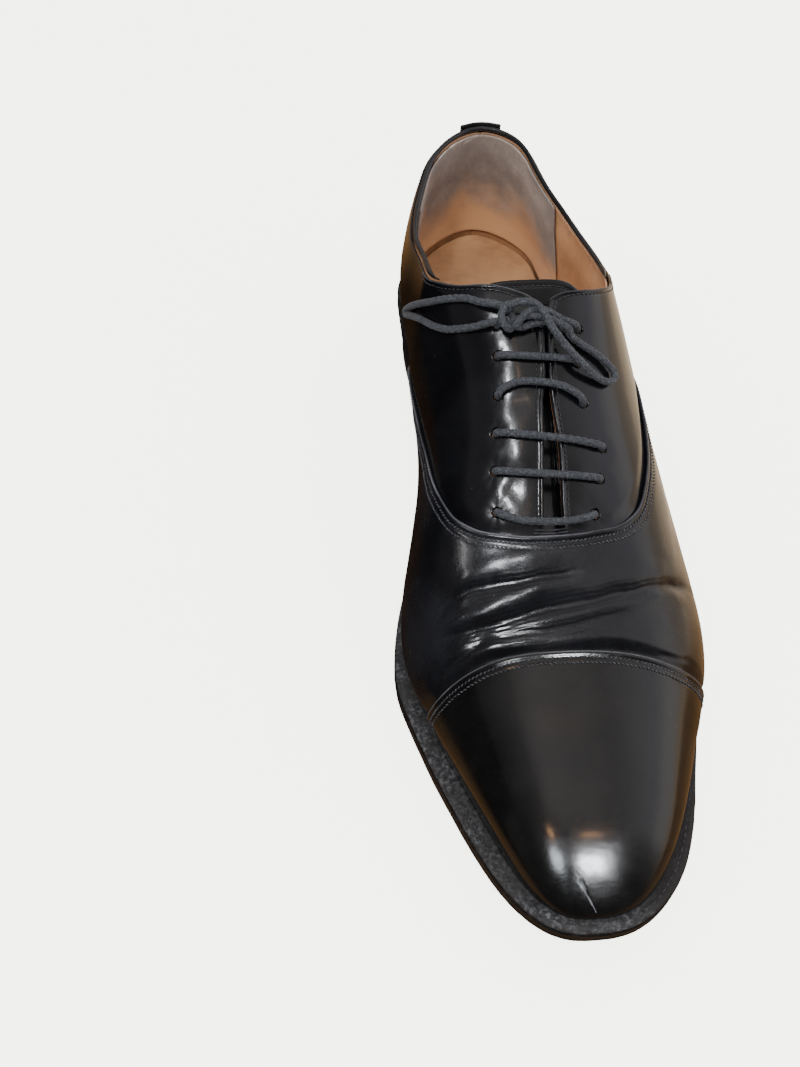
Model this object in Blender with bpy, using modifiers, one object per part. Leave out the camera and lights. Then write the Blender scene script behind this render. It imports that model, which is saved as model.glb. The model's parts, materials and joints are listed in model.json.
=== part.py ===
"""Leather oxford shoe, wearer's left: cap toe, closed lacing, welted leather sole, stacked heel.

Row frame: +Z up, toe towards -Y, heel towards +Y, +X the lateral side.
Every design table is in millimetres. s is the station, measured from the heel's
back towards the toe; q runs over the upper from the medial feather edge (-1)
over the crown (0) to the lateral feather edge (+1).
"""
import math

import bmesh
import bpy
import numpy as np
from mathutils import Vector

MM = 0.001

# ---------------------------------------------------------------- driving dimensions, mm
SHOE_LENGTH = 300.0
HALF_LENGTH = SHOE_LENGTH / 2 + 0.1
AXIS_X = -1.65           # the last's axis in the row frame, which is centred on the whole shoe
UPPER_TIP = 296.0        # the upper's toe tip at the feather line
OUTSOLE = 5.0            # outsole thickness
WELT_LOW = 5.3           # underside of the welt above the sole line
WELT_THICK = 2.5
FEATHER = 8.3            # feather line above the sole line
INSOLE_LOW = 8.6
INSOLE_THICK = 2.8
LEATHER = 1.1            # outside leathers
LINING = 0.8
LINING_LEVEL = -2.9      # lining's outer face under the upper's outer face
HOLE_R = 2.0             # punched lace holes
LACE_R = 1.3
SEAM_TUCK = 6.0          # how far a leather runs on under the one that covers it
TOP_PIECE = 6.0
HEEL_BREAST = 76.0
AGLET_R = 1.6
AGLET_LENGTH = 22.0


# ---------------------------------------------------------------- smooth tables
def spline(points):
    """Natural cubic through (x, y) pairs, straight beyond both ends."""
    x = np.array([p[0] for p in points], float)
    y = np.array([p[1] for p in points], float)
    n = len(x)
    h = np.diff(x)
    a = np.zeros((n, n))
    b = np.zeros(n)
    a[0, 0] = a[-1, -1] = 1.0
    for i in range(1, n - 1):
        a[i, i - 1], a[i, i], a[i, i + 1] = h[i - 1], 2 * (h[i - 1] + h[i]), h[i]
        b[i] = 6 * ((y[i + 1] - y[i]) / h[i] - (y[i] - y[i - 1]) / h[i - 1])
    m = np.linalg.solve(a, b)

    def f(t):
        t = np.asarray(t, float)
        i = np.clip(np.searchsorted(x, t) - 1, 0, n - 2)
        u, v = x[i + 1] - t, t - x[i]
        inside = (
            (m[i] * u**3 + m[i + 1] * v**3) / (6 * h[i])
            + (y[i] / h[i] - m[i] * h[i] / 6) * u
            + (y[i + 1] / h[i] - m[i + 1] * h[i] / 6) * v
        )
        low = y[0] + (t - x[0]) * ((y[1] - y[0]) / h[0] - m[1] * h[0] / 6)
        high = y[-1] + (t - x[-1]) * ((y[-1] - y[-2]) / h[-1] + m[-2] * h[-1] / 6)
        return np.where(t < x[0], low, np.where(t > x[-1], high, inside))

    return f


def table(points):
    """Straight lines through (x, y) pairs."""
    x = [p[0] for p in points]
    y = [p[1] for p in points]
    return lambda t: np.interp(t, x, y)


def ease(t):
    t = np.clip(t, 0.0, 1.0)
    return t * t * (3 - 2 * t)


# ---------------------------------------------------------------- the last
SOLE_Z = spline([(0, 25.5), (30, 25.0), (60, 24.3), (80, 22.3), (100, 18.3), (120, 13.3), (140, 8.3), (160, 4.2), (178, 1.4), (195, 0.15), (210, 0.0), (225, 0.6), (240, 1.8), (260, 4.2), (280, 7.2), (300, 10.6)])
WIDTH_M = spline([(0, 21.5), (20, 28.5), (40, 30.5), (60, 30.5), (80, 29.5), (100, 28.8), (120, 29.5), (140, 32.5), (160, 37.5), (180, 42.6), (198, 45.2), (212, 44.8), (225, 41.2), (240, 36.4), (255, 31.2), (270, 26.8), (285, 23.4), (300, 20)])
WIDTH_L = spline([(0, 21.5), (20, 28.0), (40, 30.5), (60, 31.5), (80, 33), (100, 35), (120, 38.3), (140, 42.3), (160, 46.2), (180, 49.3), (198, 50.6), (212, 50.0), (225, 46.9), (240, 41.7), (255, 36.7), (270, 32.1), (285, 27.7), (300, 22)])
CROWN_Z = spline([(0, 112), (60, 110), (90, 106.5), (110, 102), (123, 96.8), (140, 88.0), (160, 77.3), (180, 66.5), (191, 60.9), (205, 53.8), (224, 45.6), (240, 40.6), (255, 36.8), (270, 33.2), (282, 29.8), (296, 25.5)])
BACK_S = spline([(20, 5.5), (32, 3.2), (42, 1.2), (52, 0.4), (62, 0.8), (75, 3.0), (88, 6.6), (100, 10.5), (115, 16)])
CENTRE = spline([(0, -2.6), (25, -3.7), (45, -3.8), (65, -2.9), (85, -1.4), (105, -0.3), (125, 0), (300, 0)])
BULGE_M = spline([(0, 2.0), (30, 2.6), (60, 4.4), (80, 6.0), (100, 7.2), (120, 6.4), (140, 4.6), (165, 3.7), (210, 3.4), (240, 2.4), (265, 1.6), (296, 0.8)])
BULGE_L = spline([(0, 2.0), (60, 2.8), (100, 4.4), (130, 5.2), (155, 4.8), (185, 3.8), (210, 3.4), (240, 2.4), (265, 1.6), (296, 0.8)])
BULGE_H = spline([(0, 14), (60, 17), (100, 20), (140, 17), (180, 13), (210, 12), (296, 10)])
ALPHA = spline([(0, 0.42), (60, 0.42), (95, 0.48), (115, 0.60), (140, 0.78), (165, 0.85), (190, 0.86), (215, 0.80), (240, 0.74), (270, 0.70), (296, 0.70)])
BETA = spline([(0, 0.90), (95, 0.90), (115, 0.92), (140, 0.95), (190, 0.92), (215, 0.88), (240, 0.86), (296, 0.86)])
LEAN_M = spline([(0, 0.15), (18, 0.24), (30, 0.26), (42, 0.17), (54, 0.07), (72, -0.05), (84, -0.07), (105, -0.20), (125, -0.15), (150, -0.05), (170, -0.02), (210, 0.0), (296, 0.0)])
LEAN_L = spline([(0, 0.05), (12, 0.20), (26, 0.32), (38, 0.24), (48, 0.13), (63, 0.01), (80, -0.03), (100, 0.0), (130, 0.03), (170, 0.02), (210, 0.0), (296, 0.0)])
TOE_FROM, TOE_LOW_FROM, HEEL_TO = 236.0, 267.0, 34.0
TOE_A, TOE_B, HEEL_A = 3.7, 2.8, 2.3


def closing(s):
    """How the widths close round the toe and the heel, and the height over the toe."""
    t = np.clip((s - TOE_FROM) / (UPPER_TIP - TOE_FROM), 0.0, 1.0)
    toe_w = np.power(np.clip(1 - t**TOE_A, 0, 1), 1 / TOE_B)
    t = np.clip((s - TOE_LOW_FROM) / (UPPER_TIP - TOE_LOW_FROM), 0.0, 1.0)
    toe_h = np.power(np.clip(1 - t**2.6, 0, 1), 0.5)
    u = np.clip(1 - s / HEEL_TO, 0.0, 1.0)
    heel = np.power(np.clip(1 - u**HEEL_A, 0, 1), 0.5)
    return toe_w, toe_h, heel


def surface(s, q):
    """Outer face of the upper as (x, s, z)."""
    s, q = np.broadcast_arrays(np.asarray(s, float), np.asarray(q, float))
    side = np.where(q < 0, -1.0, 1.0)
    phi = (1 - np.abs(q)) * math.pi / 2
    toe_w, toe_h, heel = closing(s)
    w = np.where(q < 0, WIDTH_M(s), WIDTH_L(s))
    lean = np.where(q < 0, LEAN_M(s), LEAN_L(s))
    zf = SOLE_Z(s) + FEATHER
    zeta = np.power(np.clip(np.sin(phi), 0, 1), BETA(s))
    z = zf + (CROWN_Z(s) - zf) * toe_h * zeta
    bulge = np.where(q < 0, BULGE_M(s), BULGE_L(s)) * ease((z - zf) / BULGE_H(s)) * np.minimum(toe_w * heel, 1)
    x = (w * toe_w * heel + bulge) * np.power(np.clip(np.cos(phi), 0, 1), ALPHA(s)) * (1 - lean * zeta)
    back = BACK_S(z) * (1 - ease(s / 70.0))
    return np.stack([side * x + CENTRE(s), s + back, z], -1)


def normal(s, q):
    s, q = np.broadcast_arrays(np.asarray(s, float), np.asarray(q, float))
    low, high = np.clip(s - 0.25, 0.02, UPPER_TIP - 0.04), np.clip(s + 0.25, 0.04, UPPER_TIP - 0.02)
    ql, qh = np.clip(q - 0.002, -1, 1), np.clip(q + 0.002, -1, 1)
    mid = np.clip(s, 0.02, UPPER_TIP - 0.02)
    n = np.cross(surface(mid, qh) - surface(mid, ql), surface(high, q) - surface(low, q))
    n[..., 0] *= np.clip(s / 0.3, 0.0, 1.0)
    return n / np.maximum(np.linalg.norm(n, axis=-1, keepdims=True), 1e-12)


def at(s, q, off=0.0):
    """A point off mm outside the upper's outer face, in mm in the row frame."""
    p = surface(s, q) + normal(s, q) * np.asarray(off, float)[..., None]
    return np.stack([p[..., 0] + AXIS_X, HALF_LENGTH - p[..., 1], p[..., 2]], -1)


# ---------------------------------------------------------------- seams
CAP_SEAM = spline([(-1, 229.5), (-0.608, 227.8), (-0.388, 225.7), (-0.192, 224.3), (0.0, 224.2), (0.12, 224.8), (0.238, 225.7), (0.423, 227.3), (0.623, 228.1), (0.8, 228.4), (1, 228.6)])
# the vamp's rear edge over the quarters: (|q|, s) on either side
SEAM_M = [(0.0, 191.4), (0.07, 191.2), (0.14, 190.2), (0.21, 188.6), (0.285, 186.2), (0.354, 182.6), (0.42, 178.0), (0.476, 172.4), (0.55, 164.4), (0.638, 153.3), (0.71, 142.3), (0.779, 129.9), (0.828, 114.5), (0.865, 101.0), (0.905, 92.5), (0.95, 88.0), (1.0, 86.0)]
SEAM_L = [(0.0, 191.4), (0.07, 191.0), (0.14, 189.8), (0.19, 188.8), (0.235, 187.2), (0.29, 184.2), (0.348, 179.4), (0.42, 169.6), (0.495, 157.4), (0.557, 144.5), (0.63, 130.5), (0.71, 117.0), (0.79, 106.0), (0.86, 98.5), (0.93, 94.0), (1.0, 92.0)]
ARC = 72.0  # mm of girth for a step of 1 in q


def seam(side, margin=0.0):
    """Station of the rear vamp seam as a function of |q|, moved margin mm towards the toe."""
    rows = SEAM_M if side < 0 else SEAM_L
    q = np.linspace(0.0, 1.0, 201)
    s = spline(rows)(q) if margin == 0 else None
    base_q = np.linspace(-0.12, 1.08, 241)
    base_s = np.where(base_q < 0, spline(rows)(-base_q), spline(rows)(np.clip(base_q, 0, 1)))
    base_s = base_s - np.clip(base_q - 1, 0, 1) * 30
    if margin:
        dq, ds = np.gradient(base_q) * ARC, np.gradient(base_s)
        k = np.hypot(dq, ds)
        q2, s2 = base_q + margin * (-ds / k) / ARC, base_s + margin * (dq / k)
        keep = np.concatenate([[True], np.diff(np.maximum.accumulate(q2)) > 1e-6])
        return lambda t: np.interp(t, q2[keep], s2[keep])
    return lambda t: np.interp(t, q, s)


def seam_distance(s, q):
    """Distance in front of the rear vamp seam, mm; negative on the quarters."""
    out = np.zeros(np.broadcast(s, q).shape)
    for side in (-1, 1):
        f = seam(side)
        a = np.abs(q)
        slope = (f(np.clip(a + 0.01, 0, 1)) - f(np.clip(a - 0.01, 0, 1))) / (0.02 * ARC)
        d = (s - f(a)) / np.sqrt(1 + slope**2)
        out = np.where((q < 0) == (side < 0), d, out)
    return out


def vamp_level(s, q):
    """The vamp lifts where it covers the quarters and dips under the toe cap."""
    d = seam_distance(s, q)
    rear = 0.3 * (1 - ease((d - 9.0) / 8.0))
    front = -1.35 * ease((s - (CAP_SEAM(q) - 5.0)) / 4.6)
    return rear + front


def quarter_level(s, q):
    return -1.45 * ease((seam_distance(s, q) + 5.0) / 4.7)


def cap_level(s, q):
    return 0.3 * (1 - ease((s - CAP_SEAM(q) - 9.0) / 8.0))


# top edge and bottom edge of a quarter, walked together from the heel back to the facing's foot:
# (station, |q|) on top, (station, |q|) below; below, None stands for the covered margin in front of the seam
HEEL_STATIONS = [0.004, 0.3, 1.0, 2.5, 5.0, 9.0, 15.0, 26.0]
TOP_M = [(0.004, 0.548), (0.3, 0.548), (1.0, 0.549), (2.5, 0.550), (5.0, 0.552), (9.0, 0.556), (15.0, 0.569), (26.0, 0.590), (38.0, 0.606), (49.0, 0.612), (60.0, 0.604), (72.0, 0.578), (83.0, 0.532), (93.0, 0.476), (100.5, 0.421), (104.6, 0.376), (108.5, 0.320), (113.3, 0.228), (116.0, 0.120), (118.0, 0.055), (120.6, 0.010), (123.4, -0.002), (126.5, -0.009), (133.0, -0.011), (144.0, -0.008), (152.0, 0.001), (160.0, 0.007), (167.0, 0.012), (176.0, 0.021), (185.0, 0.029), (190.5, 0.030)]
TOP_L = [(0.004, 0.548), (0.3, 0.548), (1.0, 0.549), (2.5, 0.550), (5.0, 0.552), (9.0, 0.556), (15.0, 0.570), (26.0, 0.598), (38.0, 0.620), (49.0, 0.630), (63.0, 0.630), (75.0, 0.606), (86.0, 0.562), (95.0, 0.505), (102.0, 0.448), (107.0, 0.402), (110.3, 0.358), (113.4, 0.300), (116.8, 0.219), (119.0, 0.130), (120.3, 0.066), (121.9, 0.034), (124.4, 0.021), (133.0, 0.019), (144.0, 0.019), (152.0, 0.021), (160.0, 0.028), (167.0, 0.032), (176.0, 0.029), (185.0, 0.024), (190.5, 0.022)]
LOW_M = [0.004, 0.3, 1.0, 2.5, 5.0, 9.0, 15.0, 26.0, 38.0, 49.0, 60.0, 71.0, 80.0, 87.0, -0.97, -0.925, -0.88, -0.82, -0.765, -0.725, -0.695, -0.665, -0.635, -0.60, -0.54, -0.485, -0.43, -0.37, -0.29, -0.19, -0.05]
LOW_L = [0.004, 0.3, 1.0, 2.5, 5.0, 9.0, 15.0, 26.0, 38.0, 49.0, 62.0, 73.0, 83.0, 90.0, -0.97, -0.91, -0.855, -0.79, -0.735, -0.69, -0.66, -0.63, -0.60, -0.565, -0.515, -0.465, -0.41, -0.35, -0.27, -0.18, -0.05]


def quarter_grid(side, columns, rows, margin=SEAM_TUCK, drop=0.0):
    """Stations and q over one quarter: columns along its edges, rows from the top edge down."""
    top = TOP_M if side < 0 else TOP_L
    low = LOW_M if side < 0 else LOW_L
    front = seam(side, margin)
    k = np.arange(len(top))
    low_s = [v if v > 0 else float(front(-v)) for v in low]
    low_q = [1.0 if v > 0 else -v for v in low]
    ts, tq = np.interp(columns, k, [p[0] for p in top]), np.interp(columns, k, [p[1] for p in top])
    ls, lq = np.interp(columns, k, low_s), np.interp(columns, k, low_q)
    r = np.asarray(rows, float)[None, :]
    s = ts[:, None] * (1 - r) + ls[:, None] * r
    q = (tq[:, None] + drop) * (1 - r) + lq[:, None] * r
    return s, side * q


# ---------------------------------------------------------------- scene set-up
for item in list(bpy.data.objects):
    bpy.data.objects.remove(item, do_unlink=True)
for block in (bpy.data.meshes, bpy.data.curves, bpy.data.materials, bpy.data.collections):
    for item in list(block):
        block.remove(item)

part = bpy.data.collections.new("leather_oxford_shoe")
cutters = bpy.data.collections.new("cutters")
bpy.context.scene.collection.children.link(part)
bpy.context.scene.collection.children.link(cutters)


def material(name, colour, roughness, metallic=0.0):
    m = bpy.data.materials.new(name)
    m.use_nodes = True
    b = m.node_tree.nodes["Principled BSDF"]
    b.inputs["Base Color"].default_value = (*colour, 1.0)
    b.inputs["Roughness"].default_value = roughness
    b.inputs["Metallic"].default_value = metallic
    m.diffuse_color = (*colour, 1.0)
    return m


LOOKS = {
    "upper": ((0.012, 0.012, 0.014), 0.22),
    "edge": ((0.012, 0.011, 0.011), 0.35),
    "lining": ((0.45, 0.21, 0.095), 0.55),
    "textile": ((0.52, 0.40, 0.28), 0.9),
    "suede": ((0.20, 0.135, 0.10), 0.85),
    "board": ((0.42, 0.28, 0.17), 0.8),
    "cork": ((0.42, 0.25, 0.12), 0.95),
    "sole": ((0.035, 0.026, 0.022), 0.5),
    "rubber": ((0.02, 0.02, 0.02), 0.7),
    "lace": ((0.016, 0.017, 0.019), 0.75),
}


def finish(obj, look, metallic=0.0):
    colour, rough = LOOKS[look]
    obj.data.materials.append(material(obj.name + "_mat", colour, rough, metallic))
    part.objects.link(obj)
    for p in getattr(obj.data, "polygons", []):
        p.use_smooth = True
    return obj


def mesh_object(name, verts, faces):
    me = bpy.data.meshes.new(name)
    me.from_pydata([tuple(v) for v in np.asarray(verts, float) * MM], [], faces)
    me.validate()
    return bpy.data.objects.new(name, me)


def solidify(obj, thickness):
    mod = obj.modifiers.new("thickness", "SOLIDIFY")
    mod.thickness = thickness * MM
    mod.offset = -1.0
    mod.use_even_offset = False
    mod.use_rim = True
    return mod


def sheet(name, points, thickness, look, outward, close_last=False, close_first=False):
    """An open loft over a grid of points, given its thickness on the inner side."""
    n, m = points.shape[:2]
    verts = [points[i, j] for i in range(n) for j in range(m)]
    ids = [[i * m + j for j in range(m)] for i in range(n)]
    if close_last:
        ids[-1] = [ids[-1][0]] * m
    if close_first:
        ids[0] = [ids[0][0]] * m
    faces = []
    for i in range(n - 1):
        for j in range(m - 1):
            f = []
            for v in (ids[i][j], ids[i][j + 1], ids[i + 1][j + 1], ids[i + 1][j]):
                if v not in f:
                    f.append(v)
            if len(f) > 2:
                faces.append(f)
    used = sorted({v for f in faces for v in f})
    renumber = {v: k for k, v in enumerate(used)}
    verts = [verts[v] for v in used]
    faces = [[renumber[v] for v in f] for f in faces]
    i, j = n // 2, m // 2
    a, b, c = points[i, j], points[i, j + 1 if j + 1 < m else j - 1], points[i + 1 if i + 1 < n else i - 1, j]
    turn = np.cross(b - a, c - a) * (1 if j + 1 < m else -1) * (1 if i + 1 < n else -1)
    if float(np.dot(turn, outward)) < 0:
        faces = [f[::-1] for f in faces]
    obj = mesh_object(name, verts, faces)
    solidify(obj, thickness)
    return finish(obj, look)


def skin(name, s, q, level, thickness, look, close_last=False):
    pts = at(s, q, level)
    i, j = s.shape[0] // 2, s.shape[1] // 2
    n = normal(s[i, j], q[i, j])
    return sheet(name, pts, thickness, look, np.array([n[0], -n[1], n[2]]), close_last)


# ---------------------------------------------------------------- uppers
q_cols = np.concatenate([-np.array([1, 0.93, 0.83, 0.71, 0.58, 0.44, 0.30, 0.15]), np.array([0, 0.15, 0.30, 0.44, 0.58, 0.71, 0.83, 0.93, 1])])
turn = np.radians(np.array([18, 34, 48, 61, 73, 83, 90]))
toe_rows = TOE_FROM + (UPPER_TIP - TOE_FROM) * np.power(1 - np.power(np.cos(turn), TOE_B), 1 / TOE_A)
toe_rows[-1] = UPPER_TIP


def toe_grid(start):
    """Stations from a seam to the tip for each q column."""
    first = start(q_cols)
    lead = np.stack([first + (toe_rows[0] - first) * f for f in (0.0, 0.5)], 0)
    body = np.repeat(toe_rows[:, None], len(q_cols), 1)
    s = np.concatenate([lead, body], 0)
    return s, np.repeat(q_cols[None, :], s.shape[0], 0)


s, q = toe_grid(CAP_SEAM)
skin("toe_cap", s, q, cap_level(s, q), LEATHER, "upper", True)

s, q = toe_grid(lambda t: CAP_SEAM(t) + 11.5)
s, q = s[:-1], q[:-1]
keep = slice(1, -1)
skin("toe_puff", s[:, keep], q[:, keep], np.full(s[:, keep].shape, -1.55), 0.75, "board")

v_cols = np.concatenate([-np.array([1, 0.93, 0.865, 0.80, 0.71, 0.62, 0.53, 0.44, 0.354, 0.27, 0.14]), np.array([0, 0.14, 0.235, 0.33, 0.44, 0.54, 0.64, 0.74, 0.83, 0.92, 1])])
rear = np.where(v_cols < 0, seam(-1)(np.abs(v_cols)), seam(1)(np.abs(v_cols)))
front = CAP_SEAM(v_cols) + 8.0
steps = np.array([0, 0.11, 0.23, 0.36, 0.5, 0.65, 0.81])
s = np.stack([rear + (front - 14 - rear) * f for f in steps] + [front - 13.5, front - 10.5, front - 8.3, front], 0)
q = np.repeat(v_cols[None, :], s.shape[0], 0)
skin("vamp", s, q, vamp_level(s, q), LEATHER - 0.1, "upper")

l_cols = np.concatenate([-np.array([1, 0.93, 0.83, 0.71, 0.58, 0.44, 0.30, 0.15]), np.array([0, 0.15, 0.30, 0.44, 0.58, 0.71, 0.83, 0.93, 1])])
lining_start = np.where(l_cols < 0, seam(-1, 8.0)(np.abs(l_cols)), seam(1, 8.0)(np.abs(l_cols)))
lead = np.stack([lining_start + (toe_rows[0] - lining_start) * f for f in (0, 0.11, 0.22, 0.34, 0.46, 0.59, 0.73, 0.87)], 0)
s = np.concatenate([lead, np.repeat(toe_rows[:, None], len(l_cols), 1)], 0)
q = np.repeat(l_cols[None, :], s.shape[0], 0)
s, q = s[:-1], q[:-1]
skin("vamp_lining", s, q, np.full(s.shape, LINING_LEVEL) - 0.25 * ease((s - 280) / 10), LINING, "textile")

columns = np.array([0, 2, 3, 4, 5, 5.5, 6, 6.5, 7, 8, 9, 10, 11, 12, 13, 14, 15, 16, 17, 18, 19, 20, 21, 23, 25, 27, 28, 29, 30])
quarter_rows = np.array([0, 0.1, 0.28, 0.46, 0.62, 0.76, 0.89, 1.0])
quarters = {}
linings = {}
for side, word in ((-1, "medial"), (1, "lateral")):
    s, q = quarter_grid(side, columns, quarter_rows)
    quarters[word] = skin("quarter_" + word, s, q, quarter_level(s, q), LEATHER, "upper")
    s, q = quarter_grid(side, columns, quarter_rows, SEAM_TUCK + 0.4, 0.004)
    edge = np.clip((22.0 - columns) / 3.0, 0, 1)[:, None]
    rise = (1 - ease(quarter_rows / 0.3))[None, :]
    level = LINING_LEVEL + rise * (1.35 * edge + 0.35 * (1 - edge))
    linings[word] = skin("quarter_lining_" + word, s, q, level, LINING, "lining")

# ---------------------------------------------------------------- facing stays
stays = {}
for side, word in ((-1, "medial"), (1, "lateral")):
    top = TOP_M if side < 0 else TOP_L
    stations = np.linspace(127.0, 180.0, 6)
    inner = np.interp(stations, [p[0] for p in top[21:]], [p[1] for p in top[21:]]) + 0.02
    s = np.repeat(stations[:, None], 4, 1)
    q = side * (inner[:, None] + (0.245 - inner[:, None]) * np.linspace(0, 1, 4)[None, :])
    stays[word] = skin("facing_stay_" + word, s, q, np.full(s.shape, -1.7), 0.55, "textile")


# ---------------------------------------------------------------- heel parts: medial side, round the back, lateral side
def round_heel(end, q_low, q_high, rows, extra=()):
    st = [v for v in HEEL_STATIONS[1:] if v < end] + [v for v in extra if v < end] + [end]
    st = sorted(set(st))
    signed = [-v for v in st[::-1]] + [0.0] + st
    s = np.repeat(np.abs(np.array(signed))[:, None], len(rows), 1)
    sg = np.where(np.array(signed) < 0, -1.0, 1.0)[:, None]
    r = np.asarray(rows, float)[None, :]
    return s, sg * (q_low(s) * (1 - r) + q_high(s) * r), np.array(signed)


TOP_EDGE = table([(0, 0.548), (9, 0.556), (15, 0.569), (26, 0.594), (38, 0.613), (49, 0.621), (60, 0.617), (80, 0.57)])
s, q, _ = round_heel(68.0, lambda t: 0.70 + 0.16 * ease(t / 68.0), lambda t: 0.965 + 0 * t, np.linspace(0, 1, 6), (20.0, 32.0, 38.0, 49.0, 60.0))
skin("heel_counter", s, q, np.full(s.shape, -1.85), 0.65, "board")

s, q, _ = round_heel(56.0, lambda t: TOP_EDGE(t) + 0.035, lambda t: 0.90 - 0.10 * ease(t / 56.0), np.array([0, 0.2, 0.45, 0.72, 1.0]), (20.0, 32.0, 38.0, 49.0))
below = np.abs(q) - TOP_EDGE(s)
level = -2.75 - 1.35 * ease((below - 0.0) / 0.13)
skin("heel_lining", s, q, level, 0.8, "suede")

s, q, _ = round_heel(2.1, lambda t: 0.518 + 0 * t, lambda t: 0.775 + 0 * t, np.linspace(0, 1, 7))
skin("back_tab", s, q, np.full(s.shape, 1.55), 1.1, "upper")


# ---------------------------------------------------------------- swept pieces
def smooth_path(points, step):
    """Rounded path through the points, re-sampled evenly."""
    p = np.asarray(points, float)
    pad = np.vstack([2 * p[0] - p[1], p, 2 * p[-1] - p[-2]])
    out = []
    for i in range(1, len(pad) - 2):
        a, b, c, d = pad[i - 1], pad[i], pad[i + 1], pad[i + 2]
        for t in np.linspace(0, 1, 12, endpoint=False):
            out.append(0.5 * ((2 * b) + (c - a) * t + (2 * a - 5 * b + 4 * c - d) * t * t + (3 * b - a - 3 * c + d) * t**3))
    out = np.array(out + [p[-1]])
    length = np.concatenate([[0], np.cumsum(np.linalg.norm(np.diff(out, axis=0), axis=1))])
    n = max(2, int(round(length[-1] / step)))
    u = np.linspace(0, length[-1], n + 1)
    return np.stack([np.interp(u, length, out[:, k]) for k in range(3)], -1)


def cord(name, points, radius, look, step=2.2, cyclic=False, resolution=2, metallic=0.0):
    path = smooth_path(points, step)
    cu = bpy.data.curves.new(name, "CURVE")
    cu.dimensions = "3D"
    cu.bevel_depth = radius * MM
    cu.bevel_resolution = resolution
    cu.use_fill_caps = not cyclic
    sp = cu.splines.new("POLY")
    if cyclic:
        path = path[:-1]
    sp.points.add(len(path) - 1)
    for k, v in enumerate(path):
        sp.points[k].co = (*(v * MM), 1.0)
    sp.use_cyclic_u = cyclic
    obj = bpy.data.objects.new(name, cu)
    return finish(obj, look, metallic)


# topline binding: over the top edges from one front corner round the heel to the other
binding = []
for side, top in ((-1, TOP_M), (1, TOP_L)):
    run = [(a, b) for a, b in top if a < 106.0 and a not in (0.004, 0.3)]
    pts = [at(a, side * (b - 0.0215), -1.7) for a, b in run]
    binding = pts[::-1] + binding if side < 0 else binding + [at(0.0, 0.5265, -1.7)] + pts
cord("topline_binding", binding, 1.15, "edge", 4.6)

# ---------------------------------------------------------------- tongue
TONGUE_TOP = table([(0.0, 113.5), (0.1, 114.4), (0.2, 117.0), (0.27, 121.2), (0.31, 127.6)])
TONGUE_LEVEL = spline([(110, -4.7), (115, -4.9), (120, -6.1), (125, -7.2), (131, -7.45), (150, -7.45), (176, -7.45), (186, -6.7), (193, -5.4), (200, -5.1)])
half = np.array([0, 0.08, 0.16, 0.23, 0.28, 0.31])
t_cols = np.concatenate([-half[:0:-1], half])
first = TONGUE_TOP(np.abs(t_cols))
rows = np.linspace(0, 1, 9)
s = first[None, :] + (196.2 - first[None, :]) * rows[:, None]
narrow = 1 - 0.42 * ease((s - 130) / 65)
q = t_cols[None, :] * narrow
skin("tongue", s, q, TONGUE_LEVEL(s), 1.2, "upper")
skin("tongue_lining", s, q * 0.985, TONGUE_LEVEL(s) - 1.6, 0.9, "lining")
throat = bpy.data.objects.new("tongue_hinge", None)
root_mid = at(195.0, 0.0, -5.5)
throat.location = Vector(root_mid * MM)
part.objects.link(throat)
for name in ("tongue", "tongue_lining"):
    o = bpy.data.objects[name]
    for v in o.data.vertices:
        v.co -= Vector(root_mid * MM)
    o.parent = throat


# ---------------------------------------------------------------- bottom
PLATE_STATIONS = np.array([0.0, 0.3, 1.0, 2.5, 5.0, 9.0, 15.0, 26.0, 38.0, 50.0, 63.0, 76.0, 88.0, 98.0, 108.0, 118.0, 129.0, 141.0, 154.0, 168.0, 184.0, 200.0, 215.0, 228.0] + list(toe_rows))
SOLE_M = spline([(0, 2.4), (40, 2.4), (75, 1.6), (100, 1.2), (130, 1.6), (160, 3.0), (185, 4.4), (210, 5.2), (240, 5.8), (270, 5.6), (296, 3.9)])
SOLE_L = spline([(0, 2.4), (40, 2.4), (75, 1.8), (110, 1.6), (140, 2.0), (170, 2.5), (205, 2.6), (230, 3.4), (255, 4.6), (275, 5.2), (296, 3.9)])


def outline(side, stations, out):
    """Plan curve out mm outside the feather line on one side, as (x, s)."""
    st = np.asarray(stations, float)
    e = 0.05
    low, high = np.clip(st - e, 0.0, UPPER_TIP), np.clip(st + e, 0.0, UPPER_TIP)
    p = surface(st, side * 1.0)[..., :2]
    d = surface(high, side * 1.0)[..., :2] - surface(low, side * 1.0)[..., :2]
    n = np.stack([d[:, 1], -d[:, 0]], -1) * side
    n /= np.maximum(np.linalg.norm(n, axis=1, keepdims=True), 1e-9)
    n[st <= 0.0] = (0.0, -1.0)
    n[st >= UPPER_TIP] = (0.0, 1.0)
    return p + n * np.asarray(out, float)[..., None]


def plan(stations, out_m, out_l, rows, breast=0.0):
    m = outline(-1, stations, out_m(stations))
    l = outline(1, stations, out_l(stations))
    r = np.asarray(rows, float)[None, :, None]
    p = m[:, None, :] * (1 - r) + l[:, None, :] * r
    if breast:
        p[-1, :, 1] -= breast * 4 * (r[0, :, 0] * (1 - r[0, :, 0]))
    return p


def lift(p, height):
    """Plan points raised height mm above the sole line."""
    return np.stack([p[..., 0] + AXIS_X, HALF_LENGTH - p[..., 1], SOLE_Z(p[..., 1]) + height], -1)


UP = np.array([0.0, 0.0, 1.0])
five = np.array([0.0, 0.14, 0.38, 0.62, 0.86, 1.0])


def plate(name, stations, out_m, out_l, height, thickness, look, close_first=True, close_last=True):
    p = plan(stations, out_m, out_l, five)
    return sheet(name, lift(p, height + thickness), thickness, look, UP, close_last, close_first)


def inset(d):
    return lambda t: np.full(np.shape(t), -d)


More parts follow.
